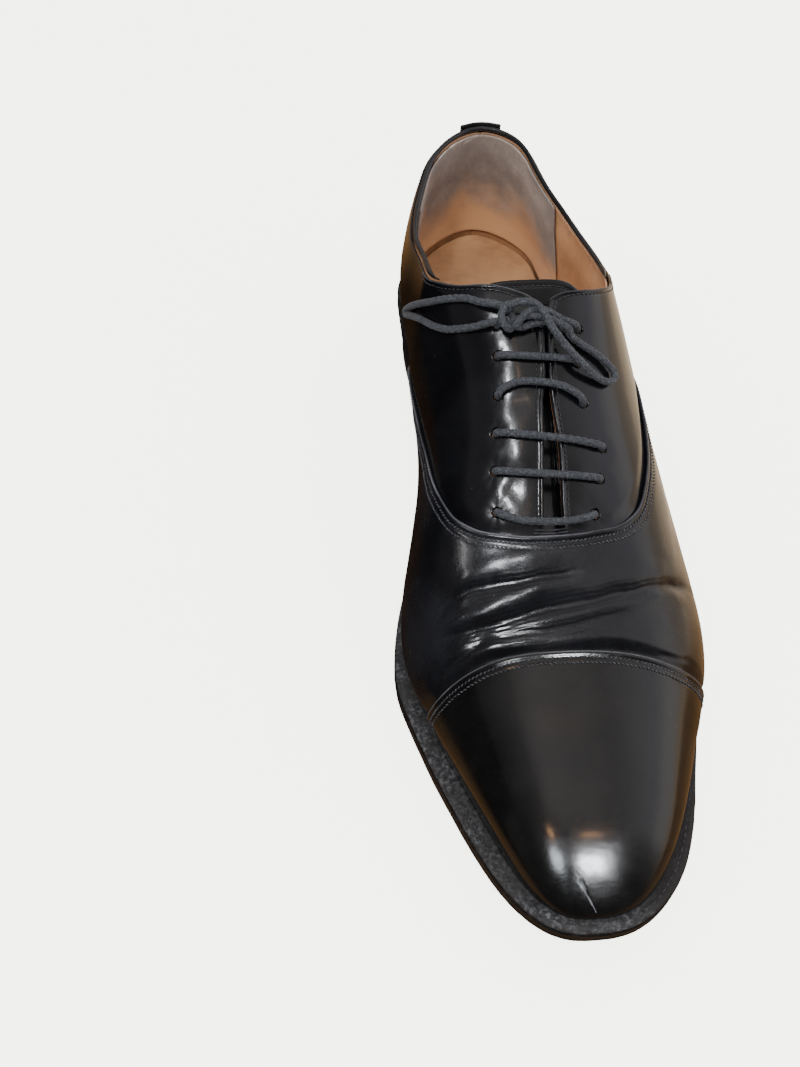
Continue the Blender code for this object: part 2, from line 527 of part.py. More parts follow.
plate("outsole", PLATE_STATIONS, SOLE_M, SOLE_L, 0.0, OUTSOLE, "sole")
INSOLE_IN = table([(0, -4.9), (245, -4.9), (270, -6.0), (285, -8.0), (296, -9.5)])
SOCK_IN = table([(0, -5.6), (245, -5.6), (270, -8.0), (285, -10.5), (296, -12.0)])
plate("insole", PLATE_STATIONS, INSOLE_IN, INSOLE_IN, INSOLE_LOW, INSOLE_THICK, "board")
plate("sock_liner", PLATE_STATIONS, SOCK_IN, SOCK_IN, INSOLE_LOW + INSOLE_THICK + 0.3, 0.8, "lining")
plate("cork_filler", PLATE_STATIONS[(PLATE_STATIONS > 140) & (PLATE_STATIONS < 290)], inset(8.0), inset(8.0), WELT_LOW + 0.1, 2.6, "cork", False, False)

stations = PLATE_STATIONS[(PLATE_STATIONS > 35) & (PLATE_STATIONS < 135)]
r = np.array([0.0, 0.5, 1.0])
m, l = outline(-1, stations, 0 * stations), outline(1, stations, 0 * stations)
mid = (m + l) / 2
p = np.stack([mid + np.array([dx, 0.0]) for dx in (-8.0, 0.0, 8.0)], 1)
sheet("shank", lift(p, 7.4), 1.4, "board", UP)

# welt and heel rand: one flat ring in two lengths
low_side = PLATE_STATIONS[(PLATE_STATIONS > 77)]
inner, outer = [], []
for side, st, out in ((-1, low_side, SOLE_M), (1, low_side[::-1][1:], SOLE_L)):
    inner.append(outline(side, st, np.full(st.shape, -3.6)))
    outer.append(outline(side, st, out(st) - 0.35))
inner, outer = np.concatenate(inner), np.concatenate(outer)
ring = np.stack([inner * (1 - f) + outer * f for f in (0.0, 0.45, 0.8, 1.0)], 1)
sheet("welt", lift(ring, WELT_LOW + WELT_THICK), WELT_THICK, "sole", UP)

st = PLATE_STATIONS[(PLATE_STATIONS > 0) & (PLATE_STATIONS < 77)]
st = np.concatenate([st, [83.0]])
inner = np.concatenate([outline(-1, st[::-1], np.full(st.shape, -3.4)), outline(-1, np.array([0.0]), np.array([-3.4])), outline(1, st, np.full(st.shape, -3.4))])
outer = np.concatenate([outline(-1, st[::-1], SOLE_M(st[::-1]) - 0.9), outline(-1, np.array([0.0]), np.array([1.5])), outline(1, st, SOLE_L(st) - 0.9)])
ring = np.stack([inner * (1 - f) + outer * f for f in (0.0, 0.5, 1.0)], 1)
sheet("heel_rand", lift(ring, WELT_LOW + WELT_THICK), WELT_THICK, "sole", UP)


# ---------------------------------------------------------------- heel
def block(name, low, high, look):
    """A solid lofted between two matching grids that close to a point at their first row."""
    n, m = low.shape[:2]
    verts, idl, idh = [], [], []
    for grid, ids in ((low, idl), (high, idh)):
        for i in range(n):
            if i == 0:
                verts.append(grid[0, 0])
                ids.append([len(verts) - 1] * m)
            else:
                ids.append(list(range(len(verts), len(verts) + m)))
                verts.extend(grid[i])
    faces = []

    def quad(*v):
        f = []
        for a in v:
            if a not in f:
                f.append(a)
        if len(f) > 2:
            faces.append(f)

    for i in range(n - 1):
        for j in range(m - 1):
            quad(idh[i][j], idh[i][j + 1], idh[i + 1][j + 1], idh[i + 1][j])
            quad(idl[i][j], idl[i + 1][j], idl[i + 1][j + 1], idl[i][j + 1])
        quad(idl[i][0], idh[i][0], idh[i + 1][0], idl[i + 1][0])
        quad(idl[i][-1], idl[i + 1][-1], idh[i + 1][-1], idh[i][-1])
    for j in range(m - 1):
        quad(idl[-1][j], idh[-1][j], idh[-1][j + 1], idl[-1][j + 1])
    obj = mesh_object(name, verts, faces)
    bm = bmesh.new()
    bm.from_mesh(obj.data)
    bmesh.ops.recalc_face_normals(bm, faces=bm.faces)
    bm.to_mesh(obj.data)
    bm.free()
    finish(obj, look)
    for poly in obj.data.polygons:
        poly.use_smooth = False
    return obj


heel_st = PLATE_STATIONS[PLATE_STATIONS < 75].tolist() + [HEEL_BREAST]
heel_st = np.array(heel_st)


def heel_section(f):
    """Section of the heel at f: 0 on the ground, 1 under the outsole."""
    shrink = 0.4 + 2.2 * (1 - f) ** 1.2
    p = plan(heel_st, lambda t: SOLE_M(t) - shrink, lambda t: SOLE_L(t) - shrink, five, 3.0)
    p[-1, :, 1] -= 1.5 * (1 - f)
    return p


def heel_height(p, f):
    return TOP_PIECE + 0.3 + f * (SOLE_Z(p[..., 1]) - 0.3 - TOP_PIECE - 0.3)


def heel_points(f, z=None):
    p = heel_section(f if z is None else 0.0)
    h = heel_height(p, f) if z is None else np.full(p.shape[:2], z)
    return np.stack([p[..., 0] + AXIS_X, HALF_LENGTH - p[..., 1], h], -1)


flat_low, flat_high = heel_points(0, 0.0), heel_points(0, TOP_PIECE)
block("heel_top_piece", flat_low, flat_high, "rubber")
LIFTS = 3
for k in range(LIFTS):
    f0, f1 = k / LIFTS, (k + 1) / LIFTS - (0.018 if k < LIFTS - 1 else 0.0)
    block("heel_lift_%d" % (k + 1), heel_points(f0), heel_points(f1), "sole")

# ---------------------------------------------------------------- lace holes, punched through facing, stay and lining
HOLES_M = [(129.0, 0.123), (137.7, 0.149), (149.0, 0.176), (159.6, 0.197), (170.4, 0.207), (182.3, 0.203)]
HOLES_L = [(131.0, 0.127), (141.0, 0.120), (153.0, 0.133), (165.3, 0.195), (174.7, 0.168), (185.2, 0.130)]
for side, word, holes in ((-1, "medial", HOLES_M), (1, "lateral", HOLES_L)):
    bm = bmesh.new()
    for s0, q0 in holes:
        a, b = at(s0, side * q0, 3.0), at(s0, side * q0, -6.0)
        axis = Vector(a - b).normalized()
        rot = axis.to_track_quat("Z", "Y").to_matrix().to_4x4()
        ret = bmesh.ops.create_cone(bm, cap_ends=True, segments=10, radius1=HOLE_R * MM, radius2=HOLE_R * MM, depth=9.0 * MM)
        bmesh.ops.transform(bm, matrix=rot, verts=ret["verts"])
        bmesh.ops.translate(bm, vec=Vector((a + b) / 2 * MM), verts=ret["verts"])
    me = bpy.data.meshes.new("punch_" + word)
    bm.to_mesh(me)
    bm.free()
    punch = bpy.data.objects.new("punch_" + word, me)
    punch.hide_render = True
    punch.display_type = "WIRE"
    cutters.objects.link(punch)
    for target in (quarters[word], linings[word], stays[word]):
        mod = target.modifiers.new("holes", "BOOLEAN")
        mod.operation = "DIFFERENCE"
        mod.solver = "EXACT"
        mod.object = punch

# ---------------------------------------------------------------- lace
OVER, UNDER = 1.75, -5.4


def leg(side, hole):
    s0, q0 = hole
    return [(s0, side * q0, v) for v in (UNDER + 0.5, -3.7, -2.2, -0.7)]


def bar(i, rise=0.0):
    """From the medial hole of a row over to the lateral one."""
    (sm, qm), (sl, ql) = HOLES_M[i], HOLES_L[i]
    pts = leg(-1, (sm, qm))
    for f in (0.022, 0.11, 0.3, 0.5, 0.7, 0.89, 0.978):
        lift_off = 1.0 if f in (0.022, 0.978) else OVER + rise * (1 - abs(2 * f - 1))
        pts.append((sm + (sl - sm) * f, -qm + (ql + qm) * f, lift_off))
    return pts + leg(1, (sl, ql))[::-1]


def run(side, holes, i, j, shift=0.0):
    """Inside run between two holes of one side, moved shift in q where it passes the hole between."""
    out = []
    a, b = holes[i], holes[j]
    if abs(i - j) == 2:
        c = holes[(i + j) // 2]
        out.append((c[0], side * (c[1] + shift), UNDER))
        for h in (a, b):
            out.append(((h[0] * 0.7 + c[0] * 0.3), side * (h[1] * 0.7 + (c[1] + shift) * 0.3), UNDER))
        out = [out[1], out[0], out[2]]
    else:
        out.append(((a[0] + b[0]) / 2, side * (a[1] + b[1]) / 2, UNDER))
    return out


M, L = HOLES_M, HOLES_L
route = [(128.9, -0.104, 1.2), (129.0, -0.119, 0.6)] + leg(-1, M[0])[::-1]
route += run(-1, M, 0, 2, 0.05) + bar(2) + run(1, L, 2, 4, -0.05) + bar(4)[::-1]
route += run(-1, M, 4, 5) + bar(5) + run(1, L, 5, 3, 0.05) + bar(3)[::-1]
route += run(-1, M, 3, 1, -0.05) + bar(1) + run(1, L, 1, 0)
route += leg(1, L[0]) + [(130.6, 0.118, 0.9), (129.9, 0.10, 2.0), (129.3, 0.085, 2.6)]
cord("lace", [at(a, b, c) for a, b, c in route], LACE_R, "lace", 3.0)

knot_mid = at(128.6, -0.036, 5.9)
n = normal(128.6, -0.036)
up = np.array([n[0], -n[1], n[2]])
ex = np.cross(np.array([0.0, 1.0, 0.0]), up)
ex /= np.linalg.norm(ex)
ey = np.cross(up, ex)
bow = []
for t in np.linspace(0, 2 * math.pi, 49):
    rad = 2 + math.cos(3 * t)
    bow.append(knot_mid + ex * rad * math.cos(2 * t) * 2.3 + ey * rad * math.sin(2 * t) * 1.9 + up * 1.7 * math.sin(3 * t))
cord("lace_knot", bow, LACE_R, "lace", 1.6, True)

# bow loops lie on the facings; each leaves the knot and comes back to it
LOOP_M = [(123.2, -0.128, 3.6), (121.4, -0.165, 2.4), (118.5, -0.217, 1.9), (114.9, -0.312, 1.8), (111.2, -0.399, 1.8), (104.8, -0.509, 1.8), (96.5, -0.625, 1.8), (91.5, -0.690, 1.9), (93.8, -0.684, 1.8), (101.5, -0.603, 1.8), (110.9, -0.499, 1.8), (117.5, -0.430, 1.8), (122.5, -0.363, 1.8), (125.4, -0.297, 1.8), (127.5, -0.222, 1.9), (128.4, -0.160, 2.6)]
LOOP_L = [(134.9, 0.030, 6.2), (137.2, 0.049, 5.6), (139.8, 0.078, 4.9), (142.8, 0.119, 4.2), (144.7, 0.167, 2.6), (145.4, 0.214, 1.8), (145.1, 0.250, 1.8), (143.5, 0.280, 1.8), (141.2, 0.284, 1.8), (139.5, 0.248, 1.8), (138.0, 0.193, 1.8), (136.3, 0.131, 1.9), (134.4, 0.088, 2.2), (132.5, 0.075, 3.2)]
cord("lace_loop_medial", [at(a, b, c) for a, b, c in LOOP_M], LACE_R, "lace", 2.4)
cord("lace_loop_lateral", [at(a, b, c) for a, b, c in LOOP_L], LACE_R, "lace", 2.0)

# the two ends are tucked away over the throat's edge, between tongue and facings
END_M = [(122.8, -0.004, 2.3), (121.6, 0.012, 1.2), (121.0, 0.018, -0.5), (120.9, 0.018, -2.3), (121.3, 0.018, -4.0), (122.8, 0.014, -5.1), (126.0, 0.004, -5.6), (130.5, -0.012, -5.65), (137.0, -0.024, -5.65), (145.0, -0.03, -5.65), (152.0, -0.03, -5.65)]
END_L = [(122.6, 0.054, 2.5), (120.9, 0.054, 2.2), (119.3, 0.052, 1.0), (118.6, 0.050, -0.6), (118.5, 0.050, -2.4), (119.6, 0.052, -4.1), (122.4, 0.056, -5.15), (126.5, 0.060, -5.6), (131.0, 0.060, -5.65), (138.0, 0.056, -5.65), (148.0, 0.052, -5.65), (156.0, 0.05, -5.65)]
for word, table_, reach in (("medial", END_M, 0.0), ("lateral", END_L, 0.0)):
    cord("lace_end_" + word, [at(a, b, c) for a, b, c in table_], LACE_R, "lace", 2.4)
    a, b, c = table_[-1]
    start = at(a, b, c)
    along = at(a + 1.0, b, c) - start
    along /= np.linalg.norm(along)
    cord("aglet_" + word, [start + along * 0.35, start + along * (AGLET_LENGTH / 2), start + along * AGLET_LENGTH], AGLET_R, "edge", 11.0)
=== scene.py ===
"""Looks of the leather oxford shoe: fine leathers, seams, laces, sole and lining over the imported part.

Built in the part's own frame: +Z up, toe towards -Y, +X the lateral side. Shapes are worked out in
millimetres on the last's surface: s is the station from the heel's back towards the toe, q runs from
the medial feather edge (-1) over the crown (0) to the lateral feather edge (+1).
"""
import json
import math

import bpy
import numpy as np
from mathutils import Matrix, Vector, noise

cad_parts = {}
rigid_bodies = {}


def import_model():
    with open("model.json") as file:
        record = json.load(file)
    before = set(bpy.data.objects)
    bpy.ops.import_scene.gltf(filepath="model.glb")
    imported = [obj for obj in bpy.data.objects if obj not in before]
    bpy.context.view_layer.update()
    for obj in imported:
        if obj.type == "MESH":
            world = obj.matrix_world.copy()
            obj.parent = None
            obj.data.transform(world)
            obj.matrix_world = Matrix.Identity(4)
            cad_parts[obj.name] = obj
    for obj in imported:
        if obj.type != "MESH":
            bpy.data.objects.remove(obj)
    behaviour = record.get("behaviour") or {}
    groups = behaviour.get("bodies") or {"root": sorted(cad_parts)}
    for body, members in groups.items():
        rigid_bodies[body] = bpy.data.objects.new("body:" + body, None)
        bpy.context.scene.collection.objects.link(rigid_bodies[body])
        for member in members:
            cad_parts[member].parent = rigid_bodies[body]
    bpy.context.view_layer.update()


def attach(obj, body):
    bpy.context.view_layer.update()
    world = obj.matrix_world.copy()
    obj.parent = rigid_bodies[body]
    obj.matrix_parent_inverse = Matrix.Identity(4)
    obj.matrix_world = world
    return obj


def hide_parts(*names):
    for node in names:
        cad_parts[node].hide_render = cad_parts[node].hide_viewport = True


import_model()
MM = 0.001

# ---------------------------------------------------------------- driving dimensions, mm
SHOE_LENGTH = 300.0
HALF_LENGTH = SHOE_LENGTH / 2 + 0.1
AXIS_X = -1.65           # the last's axis in the row frame, which is centred on the whole shoe
UPPER_TIP = 296.0        # the upper's toe tip at the feather line
OUTSOLE = 5.0            # outsole thickness
WELT_LOW = 5.3           # underside of the welt above the sole line
WELT_THICK = 2.5
FEATHER = 8.3            # feather line above the sole line
INSOLE_LOW = 8.6
INSOLE_THICK = 2.8
LEATHER = 1.1            # outside leathers
LINING = 0.8
LINING_LEVEL = -2.9      # lining's outer face under the upper's outer face
HOLE_R = 2.0             # punched lace holes
LACE_R = 1.3
SEAM_TUCK = 6.0          # how far a leather runs on under the one that covers it
TOP_PIECE = 6.0
HEEL_BREAST = 76.0
AGLET_R = 1.6
AGLET_LENGTH = 22.0


# ---------------------------------------------------------------- smooth tables
def spline(points):
    """Natural cubic through (x, y) pairs, straight beyond both ends."""
    x = np.array([p[0] for p in points], float)
    y = np.array([p[1] for p in points], float)
    n = len(x)
    h = np.diff(x)
    a = np.zeros((n, n))
    b = np.zeros(n)
    a[0, 0] = a[-1, -1] = 1.0
    for i in range(1, n - 1):
        a[i, i - 1], a[i, i], a[i, i + 1] = h[i - 1], 2 * (h[i - 1] + h[i]), h[i]
        b[i] = 6 * ((y[i + 1] - y[i]) / h[i] - (y[i] - y[i - 1]) / h[i - 1])
    m = np.linalg.solve(a, b)

    def f(t):
        t = np.asarray(t, float)
        i = np.clip(np.searchsorted(x, t) - 1, 0, n - 2)
        u, v = x[i + 1] - t, t - x[i]
        inside = (
            (m[i] * u**3 + m[i + 1] * v**3) / (6 * h[i])
            + (y[i] / h[i] - m[i] * h[i] / 6) * u
            + (y[i + 1] / h[i] - m[i + 1] * h[i] / 6) * v
        )
        low = y[0] + (t - x[0]) * ((y[1] - y[0]) / h[0] - m[1] * h[0] / 6)
        high = y[-1] + (t - x[-1]) * ((y[-1] - y[-2]) / h[-1] + m[-2] * h[-1] / 6)
        return np.where(t < x[0], low, np.where(t > x[-1], high, inside))

    return f


def table(points):
    """Straight lines through (x, y) pairs."""
    x = [p[0] for p in points]
    y = [p[1] for p in points]
    return lambda t: np.interp(t, x, y)


def ease(t):
    t = np.clip(t, 0.0, 1.0)
    return t * t * (3 - 2 * t)


# ---------------------------------------------------------------- the last
SOLE_Z = spline([(0, 25.5), (30, 25.0), (60, 24.3), (80, 22.3), (100, 18.3), (120, 13.3), (140, 8.3), (160, 4.2), (178, 1.4), (195, 0.15), (210, 0.0), (225, 0.6), (240, 1.8), (260, 4.2), (280, 7.2), (300, 10.6)])
WIDTH_M = spline([(0, 21.5), (20, 28.5), (40, 30.5), (60, 30.5), (80, 29.5), (100, 28.8), (120, 29.5), (140, 32.5), (160, 37.5), (180, 42.6), (198, 45.2), (212, 44.8), (225, 41.2), (240, 36.4), (255, 31.2), (270, 26.8), (285, 23.4), (300, 20)])
WIDTH_L = spline([(0, 21.5), (20, 28.0), (40, 30.5), (60, 31.5), (80, 33), (100, 35), (120, 38.3), (140, 42.3), (160, 46.2), (180, 49.3), (198, 50.6), (212, 50.0), (225, 46.9), (240, 41.7), (255, 36.7), (270, 32.1), (285, 27.7), (300, 22)])
CROWN_Z = spline([(0, 112), (60, 110), (90, 106.5), (110, 102), (123, 96.8), (140, 88.0), (160, 77.3), (180, 66.5), (191, 60.9), (205, 53.8), (224, 45.6), (240, 40.6), (255, 36.8), (270, 33.2), (282, 29.8), (296, 25.5)])
BACK_S = spline([(20, 5.5), (32, 3.2), (42, 1.2), (52, 0.4), (62, 0.8), (75, 3.0), (88, 6.6), (100, 10.5), (115, 16)])
CENTRE = spline([(0, -2.6), (25, -3.7), (45, -3.8), (65, -2.9), (85, -1.4), (105, -0.3), (125, 0), (300, 0)])
BULGE_M = spline([(0, 2.0), (30, 2.6), (60, 4.4), (80, 6.0), (100, 7.2), (120, 6.4), (140, 4.6), (165, 3.7), (210, 3.4), (240, 2.4), (265, 1.6), (296, 0.8)])
BULGE_L = spline([(0, 2.0), (60, 2.8), (100, 4.4), (130, 5.2), (155, 4.8), (185, 3.8), (210, 3.4), (240, 2.4), (265, 1.6), (296, 0.8)])
BULGE_H = spline([(0, 14), (60, 17), (100, 20), (140, 17), (180, 13), (210, 12), (296, 10)])
ALPHA = spline([(0, 0.42), (60, 0.42), (95, 0.48), (115, 0.60), (140, 0.78), (165, 0.85), (190, 0.86), (215, 0.80), (240, 0.74), (270, 0.70), (296, 0.70)])
BETA = spline([(0, 0.90), (95, 0.90), (115, 0.92), (140, 0.95), (190, 0.92), (215, 0.88), (240, 0.86), (296, 0.86)])
LEAN_M = spline([(0, 0.15), (18, 0.24), (30, 0.26), (42, 0.17), (54, 0.07), (72, -0.05), (84, -0.07), (105, -0.20), (125, -0.15), (150, -0.05), (170, -0.02), (210, 0.0), (296, 0.0)])
LEAN_L = spline([(0, 0.05), (12, 0.20), (26, 0.32), (38, 0.24), (48, 0.13), (63, 0.01), (80, -0.03), (100, 0.0), (130, 0.03), (170, 0.02), (210, 0.0), (296, 0.0)])
TOE_FROM, TOE_LOW_FROM, HEEL_TO = 236.0, 267.0, 34.0
TOE_A, TOE_B, HEEL_A = 3.7, 2.8, 2.3


def closing(s):
    """How the widths close round the toe and the heel, and the height over the toe."""
    t = np.clip((s - TOE_FROM) / (UPPER_TIP - TOE_FROM), 0.0, 1.0)
    toe_w = np.power(np.clip(1 - t**TOE_A, 0, 1), 1 / TOE_B)
    t = np.clip((s - TOE_LOW_FROM) / (UPPER_TIP - TOE_LOW_FROM), 0.0, 1.0)
    toe_h = np.power(np.clip(1 - t**2.6, 0, 1), 0.5)
    u = np.clip(1 - s / HEEL_TO, 0.0, 1.0)
    heel = np.power(np.clip(1 - u**HEEL_A, 0, 1), 0.5)
    return toe_w, toe_h, heel


def surface(s, q):
    """Outer face of the upper as (x, s, z)."""
    s, q = np.broadcast_arrays(np.asarray(s, float), np.asarray(q, float))
    side = np.where(q < 0, -1.0, 1.0)
    phi = (1 - np.abs(q)) * math.pi / 2
    toe_w, toe_h, heel = closing(s)
    w = np.where(q < 0, WIDTH_M(s), WIDTH_L(s))
    lean = np.where(q < 0, LEAN_M(s), LEAN_L(s))
    zf = SOLE_Z(s) + FEATHER
    zeta = np.power(np.clip(np.sin(phi), 0, 1), BETA(s))
    z = zf + (CROWN_Z(s) - zf) * toe_h * zeta
    bulge = np.where(q < 0, BULGE_M(s), BULGE_L(s)) * ease((z - zf) / BULGE_H(s)) * np.minimum(toe_w * heel, 1)
    x = (w * toe_w * heel + bulge) * np.power(np.clip(np.cos(phi), 0, 1), ALPHA(s)) * (1 - lean * zeta)
    back = BACK_S(z) * (1 - ease(s / 70.0))
    return np.stack([side * x + CENTRE(s), s + back, z], -1)


def normal(s, q):
    s, q = np.broadcast_arrays(np.asarray(s, float), np.asarray(q, float))
    low, high = np.clip(s - 0.25, 0.02, UPPER_TIP - 0.04), np.clip(s + 0.25, 0.04, UPPER_TIP - 0.02)
    ql, qh = np.clip(q - 0.002, -1, 1), np.clip(q + 0.002, -1, 1)
    mid = np.clip(s, 0.02, UPPER_TIP - 0.02)
    n = np.cross(surface(mid, qh) - surface(mid, ql), surface(high, q) - surface(low, q))
    n[..., 0] *= np.clip(s / 0.3, 0.0, 1.0)
    return n / np.maximum(np.linalg.norm(n, axis=-1, keepdims=True), 1e-12)


def at(s, q, off=0.0):
    """A point off mm outside the upper's outer face, in mm in the row frame."""
    p = surface(s, q) + normal(s, q) * np.asarray(off, float)[..., None]
    return np.stack([p[..., 0] + AXIS_X, HALF_LENGTH - p[..., 1], p[..., 2]], -1)


# ---------------------------------------------------------------- seams
CAP_SEAM = spline([(-1, 229.5), (-0.608, 227.8), (-0.388, 225.7), (-0.192, 224.3), (0.0, 224.2), (0.12, 224.8), (0.238, 225.7), (0.423, 227.3), (0.623, 228.1), (0.8, 228.4), (1, 228.6)])
# the vamp's rear edge over the quarters: (|q|, s) on either side
SEAM_M = [(0.0, 191.4), (0.07, 191.2), (0.14, 190.2), (0.21, 188.6), (0.285, 186.2), (0.354, 182.6), (0.42, 178.0), (0.476, 172.4), (0.55, 164.4), (0.638, 153.3), (0.71, 142.3), (0.779, 129.9), (0.828, 114.5), (0.865, 101.0), (0.905, 92.5), (0.95, 88.0), (1.0, 86.0)]
SEAM_L = [(0.0, 191.4), (0.07, 191.0), (0.14, 189.8), (0.19, 188.8), (0.235, 187.2), (0.29, 184.2), (0.348, 179.4), (0.42, 169.6), (0.495, 157.4), (0.557, 144.5), (0.63, 130.5), (0.71, 117.0), (0.79, 106.0), (0.86, 98.5), (0.93, 94.0), (1.0, 92.0)]
ARC = 72.0  # mm of girth for a step of 1 in q


def seam(side, margin=0.0):
    """Station of the rear vamp seam as a function of |q|, moved margin mm towards the toe."""
    rows = SEAM_M if side < 0 else SEAM_L
    q = np.linspace(0.0, 1.0, 201)
    s = spline(rows)(q) if margin == 0 else None
    base_q = np.linspace(-0.12, 1.08, 241)
    base_s = np.where(base_q < 0, spline(rows)(-base_q), spline(rows)(np.clip(base_q, 0, 1)))
    base_s = base_s - np.clip(base_q - 1, 0, 1) * 30
    if margin:
        dq, ds = np.gradient(base_q) * ARC, np.gradient(base_s)
        k = np.hypot(dq, ds)
        q2, s2 = base_q + margin * (-ds / k) / ARC, base_s + margin * (dq / k)
        keep = np.concatenate([[True], np.diff(np.maximum.accumulate(q2)) > 1e-6])
        return lambda t: np.interp(t, q2[keep], s2[keep])
    return lambda t: np.interp(t, q, s)


def seam_distance(s, q):
    """Distance in front of the rear vamp seam, mm; negative on the quarters."""
    out = np.zeros(np.broadcast(s, q).shape)
    for side in (-1, 1):
        f = seam(side)
        a = np.abs(q)
        slope = (f(np.clip(a + 0.01, 0, 1)) - f(np.clip(a - 0.01, 0, 1))) / (0.02 * ARC)
        d = (s - f(a)) / np.sqrt(1 + slope**2)
        out = np.where((q < 0) == (side < 0), d, out)
    return out


def vamp_level(s, q):
    """The vamp lifts where it covers the quarters and dips under the toe cap."""
    d = seam_distance(s, q)
    rear = 0.3 * (1 - ease((d - 9.0) / 8.0))
    front = -1.35 * ease((s - (CAP_SEAM(q) - 5.0)) / 4.6)
    return rear + front


def quarter_level(s, q):
    return -1.45 * ease((seam_distance(s, q) + 5.0) / 4.7)


def cap_level(s, q):
    return 0.3 * (1 - ease((s - CAP_SEAM(q) - 9.0) / 8.0))


# top edge and bottom edge of a quarter, walked together from the heel back to the facing's foot:
# (station, |q|) on top, (station, |q|) below; below, None stands for the covered margin in front of the seam
HEEL_STATIONS = [0.004, 0.3, 1.0, 2.5, 5.0, 9.0, 15.0, 26.0]
TOP_M = [(0.004, 0.548), (0.3, 0.548), (1.0, 0.549), (2.5, 0.550), (5.0, 0.552), (9.0, 0.556), (15.0, 0.569), (26.0, 0.590), (38.0, 0.606), (49.0, 0.612), (60.0, 0.604), (72.0, 0.578), (83.0, 0.532), (93.0, 0.476), (100.5, 0.421), (104.6, 0.376), (108.5, 0.320), (113.3, 0.228), (116.0, 0.120), (118.0, 0.055), (120.6, 0.010), (123.4, -0.002), (126.5, -0.009), (133.0, -0.011), (144.0, -0.008), (152.0, 0.001), (160.0, 0.007), (167.0, 0.012), (176.0, 0.021), (185.0, 0.029), (190.5, 0.030)]
TOP_L = [(0.004, 0.548), (0.3, 0.548), (1.0, 0.549), (2.5, 0.550), (5.0, 0.552), (9.0, 0.556), (15.0, 0.570), (26.0, 0.598), (38.0, 0.620), (49.0, 0.630), (63.0, 0.630), (75.0, 0.606), (86.0, 0.562), (95.0, 0.505), (102.0, 0.448), (107.0, 0.402), (110.3, 0.358), (113.4, 0.300), (116.8, 0.219), (119.0, 0.130), (120.3, 0.066), (121.9, 0.034), (124.4, 0.021), (133.0, 0.019), (144.0, 0.019), (152.0, 0.021), (160.0, 0.028), (167.0, 0.032), (176.0, 0.029), (185.0, 0.024), (190.5, 0.022)]
LOW_M = [0.004, 0.3, 1.0, 2.5, 5.0, 9.0, 15.0, 26.0, 38.0, 49.0, 60.0, 71.0, 80.0, 87.0, -0.97, -0.925, -0.88, -0.82, -0.765, -0.725, -0.695, -0.665, -0.635, -0.60, -0.54, -0.485, -0.43, -0.37, -0.29, -0.19, -0.05]
LOW_L = [0.004, 0.3, 1.0, 2.5, 5.0, 9.0, 15.0, 26.0, 38.0, 49.0, 62.0, 73.0, 83.0, 90.0, -0.97, -0.91, -0.855, -0.79, -0.735, -0.69, -0.66, -0.63, -0.60, -0.565, -0.515, -0.465, -0.41, -0.35, -0.27, -0.18, -0.05]


def quarter_grid(side, columns, rows, margin=SEAM_TUCK, drop=0.0):
    """Stations and q over one quarter: columns along its edges, rows from the top edge down."""
    top = TOP_M if side < 0 else TOP_L
    low = LOW_M if side < 0 else LOW_L
    front = seam(side, margin)
    k = np.arange(len(top))
    low_s = [v if v > 0 else float(front(-v)) for v in low]
    low_q = [1.0 if v > 0 else -v for v in low]
    ts, tq = np.interp(columns, k, [p[0] for p in top]), np.interp(columns, k, [p[1] for p in top])
    ls, lq = np.interp(columns, k, low_s), np.interp(columns, k, low_q)
    r = np.asarray(rows, float)[None, :]
    s = ts[:, None] * (1 - r) + ls[:, None] * r
    q = (tq[:, None] + drop) * (1 - r) + lq[:, None] * r
    return s, side * q


# ================================================================ camera
cam_data = bpy.data.cameras.new("camera")
cam_data.sensor_width = 36.0
cam_data.lens = 36.17
cam_data.clip_start = 0.01
cam_data.clip_end = 50.0
camera = bpy.data.objects.new("camera", cam_data)
bpy.context.scene.collection.objects.link(camera)
PITCH = math.radians(52.1)
head = Vector((0.1024, 0.9947, 0.0)).normalized()
aim = Vector((head.x * math.cos(PITCH), head.y * math.cos(PITCH), -math.sin(PITCH)))
right = Vector((head.y, -head.x, 0.0))
over = right.cross(aim)
turn_to = Matrix((right, over, -aim)).transposed()
roll = Matrix.Rotation(math.radians(1.72), 3, "Z")
camera.matrix_world = Matrix.Translation((-0.07075, -0.2411, 0.324)) @ (turn_to @ roll).to_4x4()
bpy.context.scene.camera = camera

PIECES = bpy.data.collections.new("visual")
bpy.context.scene.collection.children.link(PIECES)


